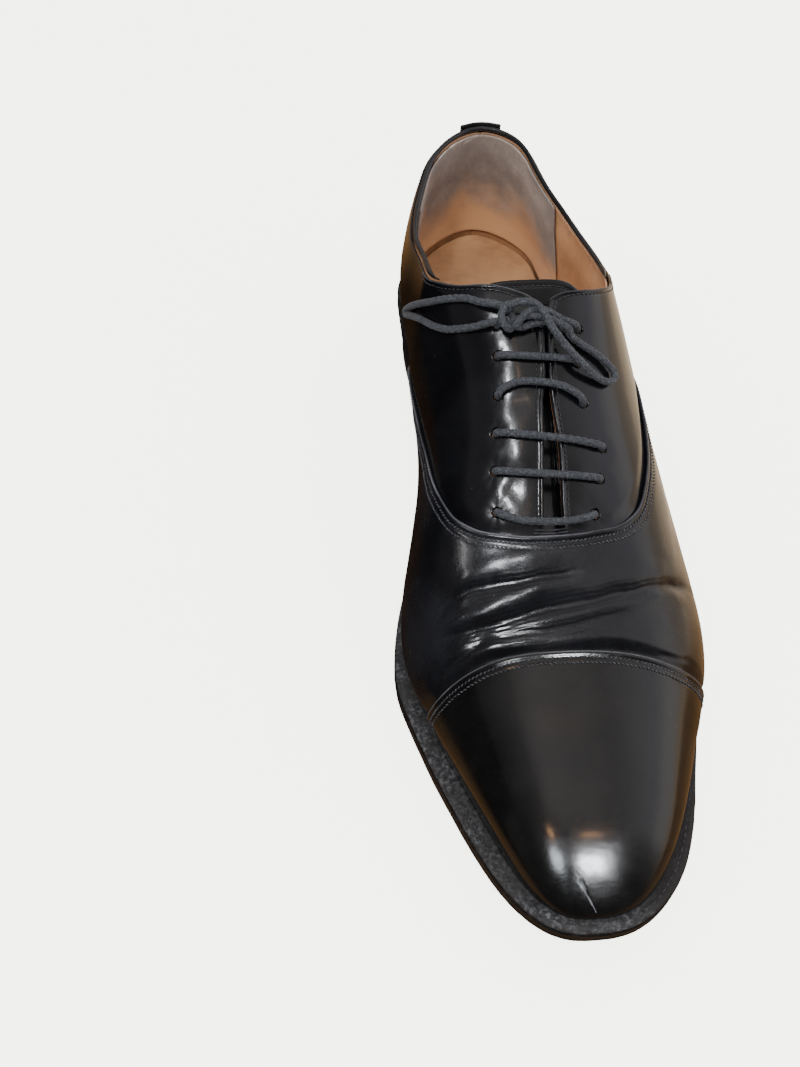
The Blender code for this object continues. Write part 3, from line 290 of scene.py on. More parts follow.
# ================================================================ materials
class Nodes:
    """A small hand for laying out a procedural material."""

    def __init__(self, name):
        self.m = bpy.data.materials.new(name)
        self.m.use_nodes = True
        self.t = self.m.node_tree
        self.p = self.t.nodes["Principled BSDF"]
        self.co = self.t.nodes.new("ShaderNodeTexCoord").outputs["Object"]

    def put(self, socket, value):
        if isinstance(value, (int, float)):
            socket.default_value = value
        elif isinstance(value, tuple):
            socket.default_value = (*value, 1.0) if len(value) == 3 and socket.type == "RGBA" else value
        else:
            self.t.links.new(value, socket)

    def space(self, scale=(1, 1, 1), rotate=(0, 0, 0), move=(0, 0, 0)):
        n = self.t.nodes.new("ShaderNodeMapping")
        n.inputs["Scale"].default_value = scale
        n.inputs["Rotation"].default_value = rotate
        n.inputs["Location"].default_value = move
        self.t.links.new(self.co, n.inputs["Vector"])
        return n.outputs["Vector"]

    def noise(self, scale, detail=3.0, rough=0.55, vector=None, distort=0.0):
        n = self.t.nodes.new("ShaderNodeTexNoise")
        n.inputs["Scale"].default_value = scale
        n.inputs["Detail"].default_value = detail
        n.inputs["Roughness"].default_value = rough
        n.inputs["Distortion"].default_value = distort
        self.t.links.new(vector or self.co, n.inputs["Vector"])
        return n.outputs["Fac"]

    def cells(self, scale, feature="F1", vector=None, out="Distance"):
        n = self.t.nodes.new("ShaderNodeTexVoronoi")
        n.feature = feature
        n.inputs["Scale"].default_value = scale
        self.t.links.new(vector or self.co, n.inputs["Vector"])
        return n.outputs[out]

    def wave(self, scale, distort=0.0, vector=None, direction="X", detail=2.0, dscale=1.0):
        n = self.t.nodes.new("ShaderNodeTexWave")
        n.bands_direction = direction
        n.inputs["Scale"].default_value = scale
        n.inputs["Distortion"].default_value = distort
        n.inputs["Detail"].default_value = detail
        n.inputs["Detail Scale"].default_value = dscale
        self.t.links.new(vector or self.co, n.inputs["Vector"])
        return n.outputs["Fac"]

    def axis(self, which):
        n = self.t.nodes.new("ShaderNodeSeparateXYZ")
        self.t.links.new(self.co, n.inputs[0])
        return n.outputs[which]

    def math(self, op, a, b=0.0, clamp=False):
        n = self.t.nodes.new("ShaderNodeMath")
        n.operation = op
        n.use_clamp = clamp
        self.put(n.inputs[0], a)
        self.put(n.inputs[1], b)
        return n.outputs[0]

    def span(self, value, a, b, c=0.0, d=1.0):
        n = self.t.nodes.new("ShaderNodeMapRange")
        n.interpolation_type = "SMOOTHSTEP"
        self.put(n.inputs["Value"], value)
        n.inputs["From Min"].default_value = a
        n.inputs["From Max"].default_value = b
        n.inputs["To Min"].default_value = c
        n.inputs["To Max"].default_value = d
        return n.outputs["Result"]

    def mix(self, fac, a, b):
        n = self.t.nodes.new("ShaderNodeMix")
        n.data_type = "RGBA"
        self.put(n.inputs["Factor"], fac)
        self.put(n.inputs[6], a)
        self.put(n.inputs[7], b)
        return n.outputs[2]

    def ramp(self, fac, stops):
        n = self.t.nodes.new("ShaderNodeValToRGB")
        r = n.color_ramp
        while len(r.elements) < len(stops):
            r.elements.new(0.5)
        for e, (pos, col) in zip(r.elements, stops):
            e.position = pos
            e.color = (*col, 1.0)
        self.t.links.new(fac, n.inputs["Fac"])
        return n.outputs["Color"]

    def bump(self, height, distance, strength=1.0, chain=None):
        n = self.t.nodes.new("ShaderNodeBump")
        n.inputs["Distance"].default_value = distance
        n.inputs["Strength"].default_value = strength
        self.t.links.new(height, n.inputs["Height"])
        if chain:
            self.t.links.new(chain, n.inputs["Normal"])
        return n.outputs["Normal"]

    def done(self, colour=None, roughness=None, normal=None, **fixed):
        p = self.p.inputs
        if colour is not None:
            self.put(p["Base Color"], colour)
        if roughness is not None:
            self.put(p["Roughness"], roughness)
        if normal is not None:
            self.put(p["Normal"], normal)
        for key, value in fixed.items():
            p[key.replace("_", " ")].default_value = value
        return self.m


def srgb(r, g, b):
    f = lambda v: (v / 255 / 12.92) if v <= 10 else ((v / 255 + 0.055) / 1.055) ** 2.4
    return (f(r), f(g), f(b))


def polished(name, dark, light, rough_low, rough_high, grain=1.0, dust=0.35, coat=0.25):
    """Black calf: polish that thins in patches, fine grain and a little dust."""
    k = Nodes(name)
    patch = k.noise(28, 4, 0.6)
    fine = k.noise(420, 3, 0.6)
    colour = k.mix(k.span(patch, 0.35, 0.7), dark, light)
    colour = k.mix(k.span(k.noise(16, 2, 0.5, k.space(move=(3.1, 0.4, 1.7))), 0.56, 0.74, 0.0, 0.6), colour, srgb(36, 26, 20))
    speck = k.cells(300, "F1")
    speck = k.math("MULTIPLY", k.span(speck, 0.09, 0.03), k.span(k.noise(60, 2), 0.60, 0.68))
    wear = k.math("MULTIPLY", speck, dust)
    colour = k.mix(wear, colour, srgb(120, 118, 112))
    rough = k.math("ADD", k.span(patch, 0.3, 0.75, rough_low, rough_high), k.math("MULTIPLY", wear, 0.5))
    rough = k.math("ADD", rough, k.span(fine, 0.3, 0.7, -0.02, 0.03))
    pores = k.cells(1300, "F1")
    normal = k.bump(pores, 0.00003 * grain, 0.35)
    normal = k.bump(fine, 0.00006 * grain, 0.4, normal)
    normal = k.bump(k.noise(75, 3, 0.5), 0.00035 * grain, 0.35, normal)
    return k.done(colour, rough, normal, IOR=1.5, Coat_Weight=coat, Coat_Roughness=0.09)


def make_lace():
    k = Nodes("lace_cotton")
    v = k.noise(2200, 3, 0.7)
    colour = k.ramp(v, [(0.3, srgb(22, 23, 26)), (0.5, srgb(42, 44, 48)), (0.7, srgb(84, 86, 92))])
    normal = k.bump(v, 0.0001, 0.5)
    return k.done(colour, k.span(v, 0.3, 0.7, 0.62, 0.85), normal, Sheen_Weight=0.06, Sheen_Roughness=0.4)


def make_thread(name, low, high):
    k = Nodes(name)
    v = k.noise(1500, 2, 0.6)
    colour = k.mix(k.span(v, 0.3, 0.7), low, high)
    return k.done(colour, k.span(v, 0.3, 0.7, 0.45, 0.7), k.bump(v, 0.00004, 0.5))


def make_lining(name="lining_leather", worn=1.0):
    """Tan kip lining, darkened where feet and hands have rubbed it."""
    k = Nodes(name)
    big = k.noise(22, 5, 0.6)
    small = k.noise(260, 4, 0.65)
    colour = k.ramp(big, [(0.28, srgb(146, 98, 62)), (0.48, srgb(180, 130, 90)), (0.68, srgb(200, 152, 112))])
    stain = k.span(k.noise(48, 4, 0.6, k.space(move=(1.3, 2.2, 0.4))), 0.52, 0.72, 0.0, 0.45 * worn)
    colour = k.mix(stain, colour, srgb(118, 82, 58))
    streak = k.noise(30, 3, 0.5, k.space(scale=(6.0, 1.0, 1.0)))
    colour = k.mix(k.span(streak, 0.45, 0.7, 0.0, 0.25), colour, srgb(186, 132, 88))
    top = k.span(k.axis("Z"), 0.070, 0.094, 0.0, 0.35)
    colour = k.mix(top, colour, srgb(124, 98, 80))
    normal = k.bump(small, 0.00008, 0.5)
    normal = k.bump(k.cells(900), 0.00004, 0.4, normal)
    return k.done(colour, k.span(small, 0.3, 0.7, 0.42, 0.62), normal, Coat_Weight=0.08, Coat_Roughness=0.35)


def make_heel_grip():
    """Suede at the heel: grey brown and napped at the top, rubbed through to tan leather below."""
    k = Nodes("heel_suede")
    nap = k.noise(900, 4, 0.7)
    cloud = k.noise(36, 4, 0.6)
    colour = k.ramp(cloud, [(0.3, srgb(106, 95, 88)), (0.5, srgb(140, 127, 117)), (0.72, srgb(174, 157, 144))])
    colour = k.mix(k.span(nap, 0.35, 0.7, 0.0, 0.3), colour, srgb(98, 86, 80))
    z = k.math("ADD", k.axis("Z"), k.span(k.noise(40, 3), 0.3, 0.7, -0.006, 0.006))
    low = k.span(z, 0.066, 0.046)
    colour = k.mix(low, colour, srgb(204, 156, 112))
    rub = k.span(k.noise(26, 2, 0.5, k.space(move=(0.7, 1.9, 0.2))), 0.55, 0.7, 0.0, 0.4)
    colour = k.mix(rub, colour, srgb(128, 96, 74))
    scratch = k.wave(70, 5.0, k.space(rotate=(0.0, 0.5, 0.3)), "Z", 2.0, 1.6)
    x, z2 = k.axis("X"), k.axis("Z")
    where = k.math("MULTIPLY", k.span(x, -0.004, -0.010), k.span(z2, 0.082, 0.087))
    where = k.math("MULTIPLY", where, k.span(x, -0.026, -0.020))
    colour = k.mix(k.math("MULTIPLY", where, k.span(scratch, 0.86, 0.97)), colour, srgb(206, 200, 192))
    return k.done(colour, 0.86, k.bump(nap, 0.00018, 0.55), Sheen_Weight=0.08, Sheen_Roughness=0.5)


def make_sock():
    k = Nodes("insole_sock")
    big = k.noise(26, 5, 0.6)
    small = k.noise(420, 4, 0.7)
    colour = k.ramp(big, [(0.3, srgb(146, 106, 72)), (0.5, srgb(170, 128, 90)), (0.7, srgb(186, 146, 106))])
    y = k.axis("Y")
    # painted shade: the sock is darkened towards the toe, where the upper covers it
    colour = k.mix(k.span(y, 0.03, -0.06, 0.0, 0.75), colour, srgb(70, 50, 38))
    ring = k.span(k.noise(60, 3, 0.6, k.space(move=(4.0, 1.0, 0.0))), 0.5, 0.72, 0.0, 0.4)
    colour = k.mix(ring, colour, srgb(118, 84, 60))
    return k.done(colour, k.span(small, 0.3, 0.7, 0.5, 0.72), k.bump(small, 0.0001, 0.5))


def make_welt():
    """Welt top: black dressing rubbed to a dusty grey, rough along its outer edge."""
    k = Nodes("welt_worn")
    gran = k.noise(700, 5, 0.75)
    patch = k.noise(55, 4, 0.6)
    colour = k.ramp(gran, [(0.30, srgb(20, 19, 19)), (0.5, srgb(42, 42, 43)), (0.72, srgb(92, 92, 92))])
    colour = k.mix(k.span(patch, 0.42, 0.66, 0.0, 0.75), colour, srgb(40, 38, 37))
    # darker towards the lateral side
    colour = k.mix(k.span(k.axis("X"), 0.004, 0.022, 0.0, 0.85), colour, srgb(26, 23, 22))
    normal = k.bump(gran, 0.0003, 0.7)
    normal = k.bump(k.noise(160, 3), 0.0005, 0.4, normal)
    return k.done(colour, k.span(gran, 0.3, 0.7, 0.55, 0.8), normal, Specular_IOR_Level=0.25)


def make_edge_dressed(name="sole_edge"):
    k = Nodes(name)
    gran = k.noise(420, 4, 0.65)
    patch = k.noise(70, 4, 0.6)
    colour = k.ramp(gran, [(0.3, srgb(12, 11, 11)), (0.55, srgb(24, 22, 21)), (0.78, srgb(46, 42, 40))])
    colour = k.mix(k.span(patch, 0.55, 0.72, 0.0, 0.4), colour, srgb(44, 37, 33))
    layer = k.wave(95, 1.6, None, "Z", 2.0, 3.0)
    colour = k.mix(k.span(layer, 0.8, 1.0, 0.0, 0.25), colour, srgb(12, 10, 10))
    normal = k.bump(gran, 0.00022, 0.6)
    normal = k.bump(layer, 0.0002, 0.25, normal)
    return k.done(colour, k.span(gran, 0.3, 0.7, 0.34, 0.56), normal, Specular_IOR_Level=0.12)


def make_sole_bottom():
    k = Nodes("sole_bottom")
    gran = k.noise(520, 5, 0.7)
    patch = k.noise(24, 5, 0.6)
    colour = k.ramp(patch, [(0.3, srgb(66, 46, 34)), (0.5, srgb(96, 70, 52)), (0.7, srgb(128, 98, 74))])
    y, z = k.axis("Y"), k.axis("Z")
    ball = k.span(z, 0.0035, 0.0005, 0.0, 0.7)
    colour = k.mix(k.math("MULTIPLY", ball, k.span(gran, 0.35, 0.6)), colour, srgb(150, 128, 106))
    waist = k.math("MULTIPLY", k.span(z, 0.006, 0.014), 0.92)
    colour = k.mix(waist, colour, srgb(24, 20, 19))
    scratch = k.wave(120, 9.0, k.space(scale=(1, 0.2, 1)), "X", 3.0, 2.0)
    colour = k.mix(k.math("MULTIPLY", k.span(scratch, 0.93, 0.99), 0.35), colour, srgb(40, 32, 28))
    return k.done(colour, k.span(gran, 0.3, 0.7, 0.5, 0.75), k.bump(gran, 0.0002, 0.6))


def make_rubber():
    k = Nodes("heel_rubber")
    gran = k.noise(700, 4, 0.7)
    colour = k.ramp(gran, [(0.3, srgb(14, 14, 14)), (0.6, srgb(28, 28, 28)), (0.8, srgb(48, 46, 44))])
    return k.done(colour, k.span(gran, 0.3, 0.7, 0.6, 0.82), k.bump(gran, 0.00015, 0.5))


def make_plain(name, stops, scale, rough, bump=0.0001):
    k = Nodes(name)
    v = k.noise(scale, 4, 0.65)
    return k.done(k.ramp(v, stops), k.span(v, 0.3, 0.7, rough - 0.08, rough + 0.08), k.bump(v, bump, 0.5))


UPPER = polished("calf_upper", srgb(5, 5, 7), srgb(13, 13, 16), 0.14, 0.24)
VAMP_MAT = polished("calf_vamp", srgb(6, 6, 8), srgb(15, 15, 18), 0.20, 0.32, 1.5, 0.4, 0.15)
TOE = polished("calf_toe", srgb(6, 6, 6), srgb(15, 14, 13), 0.15, 0.22, 0.8, 0.3)
SCUFF_MAT = polished("calf_scuff", srgb(66, 68, 72), srgb(132, 134, 138), 0.4, 0.6, 1.2, 0.2, 0.0)
WORN_EDGE = polished("calf_worn_edge", srgb(36, 36, 40), srgb(76, 76, 80), 0.35, 0.5, 1.2, 0.5, 0.0)
TRIM = polished("calf_trim", srgb(13, 13, 15), srgb(30, 30, 33), 0.26, 0.4, 1.2, 0.3, 0.1)
LACE = make_lace()
THREAD = make_thread("thread_black", srgb(22, 22, 25), srgb(58, 58, 62))
THREAD_PALE = make_thread("thread_worn", srgb(84, 84, 84), srgb(140, 138, 132))
LINING_MAT = make_lining()
SUEDE = make_heel_grip()
SOCK = make_sock()
WELT_MAT = make_welt()
EDGE = make_edge_dressed()
BOTTOM = make_sole_bottom()
RUBBER = make_rubber()
BOARD = make_plain("leather_board", [(0.3, srgb(120, 86, 58)), (0.6, srgb(158, 118, 82)), (0.8, srgb(176, 138, 100))], 260, 0.75)
CORK = make_plain("cork_mass", [(0.35, srgb(92, 60, 34)), (0.52, srgb(150, 104, 62)), (0.7, srgb(178, 134, 88))], 420, 0.85, 0.0004)
WOOD = make_plain("shank_beech", [(0.3, srgb(170, 128, 84)), (0.6, srgb(196, 156, 108)), (0.8, srgb(208, 172, 126))], 140, 0.6)
CLOTH = make_plain("twill_cloth", [(0.3, srgb(168, 146, 116)), (0.6, srgb(196, 176, 146)), (0.8, srgb(214, 198, 172))], 900, 0.85)
FELT = make_plain("stiffener", [(0.3, srgb(118, 98, 78)), (0.6, srgb(150, 128, 104)), (0.8, srgb(168, 148, 124))], 600, 0.85)
AGLET = make_plain("aglet_plastic", [(0.3, srgb(16, 16, 18)), (0.6, srgb(26, 26, 29)), (0.8, srgb(44, 44, 48))], 500, 0.3, 0.00004)


# ================================================================ meshes
def add(name, verts, faces, material, body="shoe", slot=None, replaces=(), smooth=True):
    me = bpy.data.meshes.new(name)
    me.from_pydata([tuple(v) for v in np.asarray(verts, float) * MM], [], faces)
    me.materials.append(material)
    me.validate()
    obj = bpy.data.objects.new(name, me)
    PIECES.objects.link(obj)
    if smooth:
        me.polygons.foreach_set("use_smooth", [True] * len(me.polygons))
    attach(obj, body)
    if replaces:
        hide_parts(*replaces)
    return obj


def grid_faces(n, m, start=0, flip=False):
    i, j = np.meshgrid(np.arange(n - 1), np.arange(m - 1), indexing="ij")
    a = (i * m + j).ravel() + start
    f = np.stack([a, a + 1, a + m + 1, a + m], -1)
    return (f[:, ::-1] if flip else f).tolist()


def shell(name, outer, inner, material, outward, round_edges=True, closed=False, **kw):
    """A leather sheet between two matching grids, its edges rolled over. closed: the last row meets in a point."""
    n, m = outer.shape[:2]
    t = np.linalg.norm(outer - inner, axis=-1)
    i, j = n // 2, m // 2
    turn = np.cross(outer[i, j + 1] - outer[i, j], outer[i + 1, j] - outer[i, j])
    flip = float(np.dot(turn, outward)) < 0
    verts = np.concatenate([outer.reshape(-1, 3), inner.reshape(-1, 3)])
    faces = grid_faces(n, m, 0, flip) + grid_faces(n, m, n * m, not flip)
    # boundary loop, in grid order
    loop = [(0, k) for k in range(m)] + [(k, m - 1) for k in range(1, n)]
    back = [(n - 1, k) for k in range(m - 2, -1, -1)]
    end = [(k, 0) for k in range(n - 2, 0, -1)]
    if closed:
        chains = [[(k, 0) for k in range(n - 1, -1, -1)] + [(0, k) for k in range(1, m)] + [(k, m - 1) for k in range(1, n)]]
        rings = [False]
    else:
        chains, rings = [loop + back + end], [True]
    for chain, ring in zip(chains, rings):
        idx = np.array(chain)
        po, pi_ = outer[idx[:, 0], idx[:, 1]], inner[idx[:, 0], idx[:, 1]]
        ni, nj = np.clip(idx[:, 0], 1, n - 2), np.clip(idx[:, 1], 1, m - 2)
        inside = outer[ni, nj]
        out = po - inside
        out /= np.maximum(np.linalg.norm(out, axis=1, keepdims=True), 1e-9)
        mid, half = (po + pi_) / 2, (po - pi_) / 2
        reach = t[idx[:, 0], idx[:, 1]][:, None] * 0.5
        base = len(verts)
        layers = []
        for a in (55, 25, 0, -25, -55) if round_edges else ():
            c, s_ = math.cos(math.radians(a)), math.sin(math.radians(a))
            layers.append(mid + half * s_ * 1.0 + out * reach * c * 0.9)
        verts = np.concatenate([verts] + layers) if layers else verts
        k = len(idx)
        rows_ = [[int(v) for v in idx[:, 0] * m + idx[:, 1]]]
        for l in range(len(layers)):
            rows_.append(list(range(base + l * k, base + (l + 1) * k)))
        rows_.append([int(v) for v in n * m + idx[:, 0] * m + idx[:, 1]])
        for a, b in zip(rows_[:-1], rows_[1:]):
            for u in range(k if ring else k - 1):
                w = (u + 1) % k
                f = [a[u], b[u], b[w], a[w]]
                faces.append(f[::-1] if flip else f)
    if closed:
        # weld the last row into one vertex on each face of the sheet
        last_o = set(range((n - 1) * m, n * m))
        last_i = set(range(n * m + (n - 1) * m, 2 * n * m))
        ko, ki = (n - 1) * m, n * m + (n - 1) * m
        fixed = []
        for f in faces:
            g = []
            for v in f:
                v = ko if v in last_o else ki if v in last_i else v
                if v not in g:
                    g.append(v)
            if len(g) > 2:
                fixed.append(g)
        faces = fixed
    return add(name, verts, faces, material, **kw)


def lumps(points, scale, depth=1.0, seed=0.0):
    """Smooth noise from -1 to 1 at each point."""
    p = np.asarray(points, float)
    flat = p.reshape(-1, 3) / scale + seed
    out = np.array([noise.noise(Vector(v)) for v in flat])
    return (out * depth).reshape(p.shape[:-1])


def resample(path, step):
    p = np.asarray(path, float)
    d = np.concatenate([[0], np.cumsum(np.linalg.norm(np.diff(p, axis=0), axis=1))])
    n = max(2, int(round(d[-1] / step)))
    u = np.linspace(0, d[-1], n + 1)
    return np.stack([np.interp(u, d, p[:, k]) for k in range(3)], -1)


def smooth_path(points, step):
    """Rounded path through the points, re-sampled evenly."""
    p = np.asarray(points, float)
    pad = np.vstack([2 * p[0] - p[1], p, 2 * p[-1] - p[-2]])
    out = []
    for i in range(1, len(pad) - 2):
        a, b, c, d = pad[i - 1], pad[i], pad[i + 1], pad[i + 2]
        for t in np.linspace(0, 1, 14, endpoint=False):
            out.append(0.5 * ((2 * b) + (c - a) * t + (2 * a - 5 * b + 4 * c - d) * t * t + (3 * b - a - 3 * c + d) * t**3))
    return resample(np.array(out + [p[-1]]), step)


def tube(name, path, radius, material, around=20, braid=0.0, pitch=2.3, ring=False, flat=1.0, **kw):
    """A round cord along a path; braid raises the crossing strands of a plaited cotton lace."""
    p = np.asarray(path, float)
    n = len(p)
    if ring:
        tan = np.roll(p, -1, 0) - np.roll(p, 1, 0)
    else:
        tan = np.gradient(p, axis=0)
    tan /= np.linalg.norm(tan, axis=1, keepdims=True)
    side = np.cross(tan[0], [0, 0, 1.0])
    if np.linalg.norm(side) < 0.2:
        side = np.cross(tan[0], [0, 1.0, 0])
    side /= np.linalg.norm(side)
    frames = []
    for t in tan:
        side = side - t * np.dot(side, t)
        side /= np.linalg.norm(side)
        frames.append((side, np.cross(t, side)))
    a = np.linspace(0, 2 * math.pi, around, endpoint=False)
    length = np.concatenate([[0], np.cumsum(np.linalg.norm(np.diff(p, axis=0), axis=1))])
    total = length[-1] + (np.linalg.norm(p[0] - p[-1]) if ring else 0)
    turns = max(1, round(total / pitch / 3)) * 3 if ring else total / pitch
    u, v = np.meshgrid(length / total * turns * 2 * math.pi, a, indexing="ij")
    if braid:
        one, two = np.cos(3 * v + u), np.cos(3 * v - u)
        gate = np.sin(3 * v) * np.sin(u)
        h = np.where(gate > 0, np.maximum(one, 0.2 * two), np.maximum(two, 0.2 * one))
        rad = radius * (1 - braid + braid * np.clip(h, 0, 1) ** 0.5)
    else:
        rad = np.full(u.shape, float(radius))
    e1 = np.array([f[0] for f in frames])[:, None, :]
    e2 = np.array([f[1] for f in frames])[:, None, :]
    ring_pts = p[:, None, :] + (e1 * np.cos(a)[None, :, None] + e2 * np.sin(a)[None, :, None] * flat) * rad[..., None]
    verts = ring_pts.reshape(-1, 3)
    faces = []
    last = n if ring else n - 1
    for i in range(last):
        i2 = (i + 1) % n
        for j in range(around):
            j2 = (j + 1) % around
            faces.append([i * around + j, i2 * around + j, i2 * around + j2, i * around + j2])
    if not ring:
        verts = np.vstack([verts, p[0] - tan[0] * radius * 0.5, p[-1] + tan[-1] * radius * 0.5])
        c0, c1 = len(verts) - 2, len(verts) - 1
        for j in range(around):
            j2 = (j + 1) % around
            faces.append([c0, j, j2])
            faces.append([c1, (n - 1) * around + j2, (n - 1) * around + j])
    return add(name, verts, faces, material, **kw)


def stitch_run(name, path, normals, material, pitch=1.55, radius=0.2, gap=0.78, slant=0.0, sink=0.05, jitter=0.06, **kw):
    """A row of sewn stitches: short rounded threads bedded in the leather along a path."""
    p = np.asarray(path, float)
    d = np.concatenate([[0], np.cumsum(np.linalg.norm(np.diff(p, axis=0), axis=1))])
    count = max(2, int(d[-1] / pitch))
    u = (np.arange(count) + 0.5) * d[-1] / count
    c = np.stack([np.interp(u, d, p[:, k]) for k in range(3)], -1)
    n = np.stack([np.interp(u, d, normals[:, k]) for k in range(3)], -1)
    n /= np.linalg.norm(n, axis=1, keepdims=True)
    e = 0.3
    lo = np.stack([np.interp(u - e, d, p[:, k]) for k in range(3)], -1)
    hi = np.stack([np.interp(u + e, d, p[:, k]) for k in range(3)], -1)
    t = hi - lo
    t -= n * (t * n).sum(1, keepdims=True)
    t /= np.linalg.norm(t, axis=1, keepdims=True)
    b = np.cross(n, t)
    rng = np.random.default_rng(len(name) * 7 + count)
    ang = slant + rng.normal(0, jitter, count)
    t2 = t * np.cos(ang)[:, None] + b * np.sin(ang)[:, None]
    b2 = np.cross(n, t2)
    c = c + b * rng.normal(0, 0.05, count)[:, None]
    around, prof = 6, [(-1.0, 0.0), (-0.86, 0.62), (-0.45, 0.98), (0.0, 1.0), (0.45, 0.98), (0.86, 0.62), (1.0, 0.0)]
    half = pitch * gap / 2
    verts, faces = [], []
    for k in range(count):
        base = len(verts)
        for x, r in prof:
            drop = -0.55 * radius * (abs(x) ** 2.5) - sink
            if r == 0:
                verts.append(c[k] + t2[k] * x * half + n[k] * drop)
                continue
            for q_ in range(around):
                w = 2 * math.pi * q_ / around
                verts.append(c[k] + t2[k] * x * half + n[k] * (drop + radius * r * math.sin(w)) + b2[k] * radius * r * math.cos(w))
        rings_ = len(prof) - 2
        for q_ in range(around):
            faces.append([base, base + 1 + (q_ + 1) % around, base + 1 + q_])
            tip = base + 1 + rings_ * around
            faces.append([tip, tip - around + q_, tip - around + (q_ + 1) % around])
        for l in range(rings_ - 1):
            for q_ in range(around):
                a0 = base + 1 + l * around
                faces.append([a0 + q_, a0 + (q_ + 1) % around, a0 + around + (q_ + 1) % around, a0 + around + q_])
    return add(name, verts, faces, material, **kw)


def row_normal(s, q):
    n = normal(s, q).copy()
    n[..., 1] *= -1
    return n


# ================================================================ folds, creases and seams
# creases across the vamp: (q, s) along the fold, depth mm, half width mm, length of the fade at each end in q
CREASES = [
    ([(-0.52, 213.0), (-0.40, 213.6), (-0.27, 214.0), (-0.18, 213.5), (-0.06, 212.2), (0.07, 209.8), (0.15, 208.2), (0.23, 206.8), (0.31, 204.8), (0.44, 201.8), (0.60, 199.0)], 1.25, 1.9, 0.14),
    ([(-0.54, 205.6), (-0.43, 203.2), (-0.345, 202.2), (-0.243, 202.8), (-0.13, 203.2), (-0.02, 202.6), (0.06, 201.8)], 0.85, 1.7, 0.10),
    ([(-0.40, 216.2), (-0.25, 217.2), (-0.135, 217.8), (-0.04, 217.6), (0.03, 216.6), (0.09, 215.2), (0.20, 213.0)], 0.65, 2.6, 0.12),
    ([(-0.70, 224.4), (-0.60, 222.6), (-0.50, 221.2), (-0.43, 220.4), (-0.34, 219.0), (-0.27, 218.2)], 0.75, 1.5, 0.08),
    ([(0.30, 192.8), (0.42, 190.0), (0.55, 186.3), (0.68, 182.5)], 0.28, 0.8, 0.10),
    ([(0.34, 195.0), (0.45, 192.6), (0.56, 189.4), (0.68, 186.0)], 0.22, 0.8, 0.10),
    ([(0.40, 202.6), (0.49, 200.6), (0.64, 197.9), (0.76, 196.0)], 0.35, 0.9, 0.10),
    ([(0.34, 223.9), (0.48, 223.9), (0.58, 223.8), (0.72, 223.8)], 0.30, 0.7, 0.08),
]
RIDGES = [
    ([(-0.56, 209.4), (-0.46, 210.2), (-0.355, 210.0), (-0.26, 209.4), (-0.178, 208.2), (-0.113, 206.8), (-0.05, 205.4), (0.05, 204.0)], 1.05, 2.7, 0.16),
    ([(-0.44, 200.6), (-0.387, 199.8), (-0.29, 198.0), (-0.216, 197.0), (-0.116, 196.4), (0.0, 196.6)], 0.55, 3.0, 0.14),
    ([(-0.50, 220.0), (-0.42, 219.2), (-0.30, 220.2), (-0.20, 221.3), (-0.10, 222.2), (0.02, 222.0), (0.12, 220.6)], 0.55, 2.0, 0.12),
    ([(0.00, 207.4), (0.10, 205.8), (0.20, 203.6), (0.32, 200.6), (0.45, 197.4)], 0.45, 3.4, 0.14),
    ([(-0.10, 215.0), (0.02, 213.6), (0.12, 211.4), (0.26, 209.2), (0.40, 206.4), (0.55, 203.6)], 0.55, 2.0, 0.14),
]


def fold(points, fade, s, q):
    """Signed distance in mm from a fold line, and how much of it is left at this q."""
    pq, ps = np.array([p[0] for p in points]), np.array([p[1] for p in points])
    line = spline(list(zip(pq, ps)))
    c = np.clip(q, pq[0], pq[-1])
    at_ = line(c)
    slope = (line(c + 0.01) - line(c - 0.01)) / (0.02 * ARC)
    left = ease((q - pq[0]) / fade + 0.3) * ease((pq[-1] - q) / fade + 0.3)
    return (s - at_) / np.sqrt(1 + slope**2), np.clip(left, 0, 1)


def creasing(s, q, base):
    """Height of the worn vamp over the smooth last, mm."""
    out = np.zeros(s.shape)
    zone = np.exp(-(((s - 209) / 11.0) ** 2)) * ease((0.85 - np.abs(q)) / 0.4)
    wrinkle = np.zeros(s.shape)
    n1 = lumps(base, 7.0, seed=3.0)
    n2 = lumps(base, 1.6, seed=9.0)
    for points, depth, width, fade in CREASES:
        d, left = fold(points, fade, s, q)
        d = d + n1 * 0.5
        out -= 0.72 * depth * left * np.exp(-((d / (1.15 * width)) ** 2)) * (1 + 0.25 * n1)
        # the sharp line in the fold's floor, and its fine wrinkles
        out -= 0.15 * min(depth, 1.0) * left * np.exp(-((d / 0.6) ** 2))
        wrinkle += left * np.exp(-((d / (width * 1.7)) ** 2)) * np.cos(d * 2 * math.pi / 1.25 + 2.2 * n2) * min(depth, 1.0)
    for points, height, width, fade in RIDGES:
        d, left = fold(points, fade, s, q)
        out += 0.8 * height * left * np.exp(-(((d + 0.3 * n1) / (1.1 * width)) ** 2))
    out += 0.06 * wrinkle * (1 + 0.8 * n2) + 0.012 * zone * n2 + 0.08 * zone * n1
    return out * ease((s - 193.5) / 5.0 * 1.0 + 0.35) * ease((CAP_SEAM(q) + 4.0 - s) / 5.0)


def edge_bead(d, height=0.16, first=1.75, second=None, groove=0.11):
    """Folded edge: a bead at the edge, then the trough that each stitch row pulls down."""
    out = height * np.exp(-(((d - 0.55) / 0.55) ** 2))
    out = out - groove * np.exp(-(((d - first) / 0.42) ** 2))
    if second:
        out = out - groove * np.exp(-(((d - second) / 0.42) ** 2))
    return out


FINE = np.array([0, 0.12, 0.3, 0.5, 0.7, 0.9, 1.15, 1.35, 1.55, 1.75, 1.95, 2.2, 2.5, 2.8, 3.1, 3.4, 3.7, 4.1, 4.6, 5.2, 6.0])
LIFT_M, LIFT_L = 2.0, 3.0

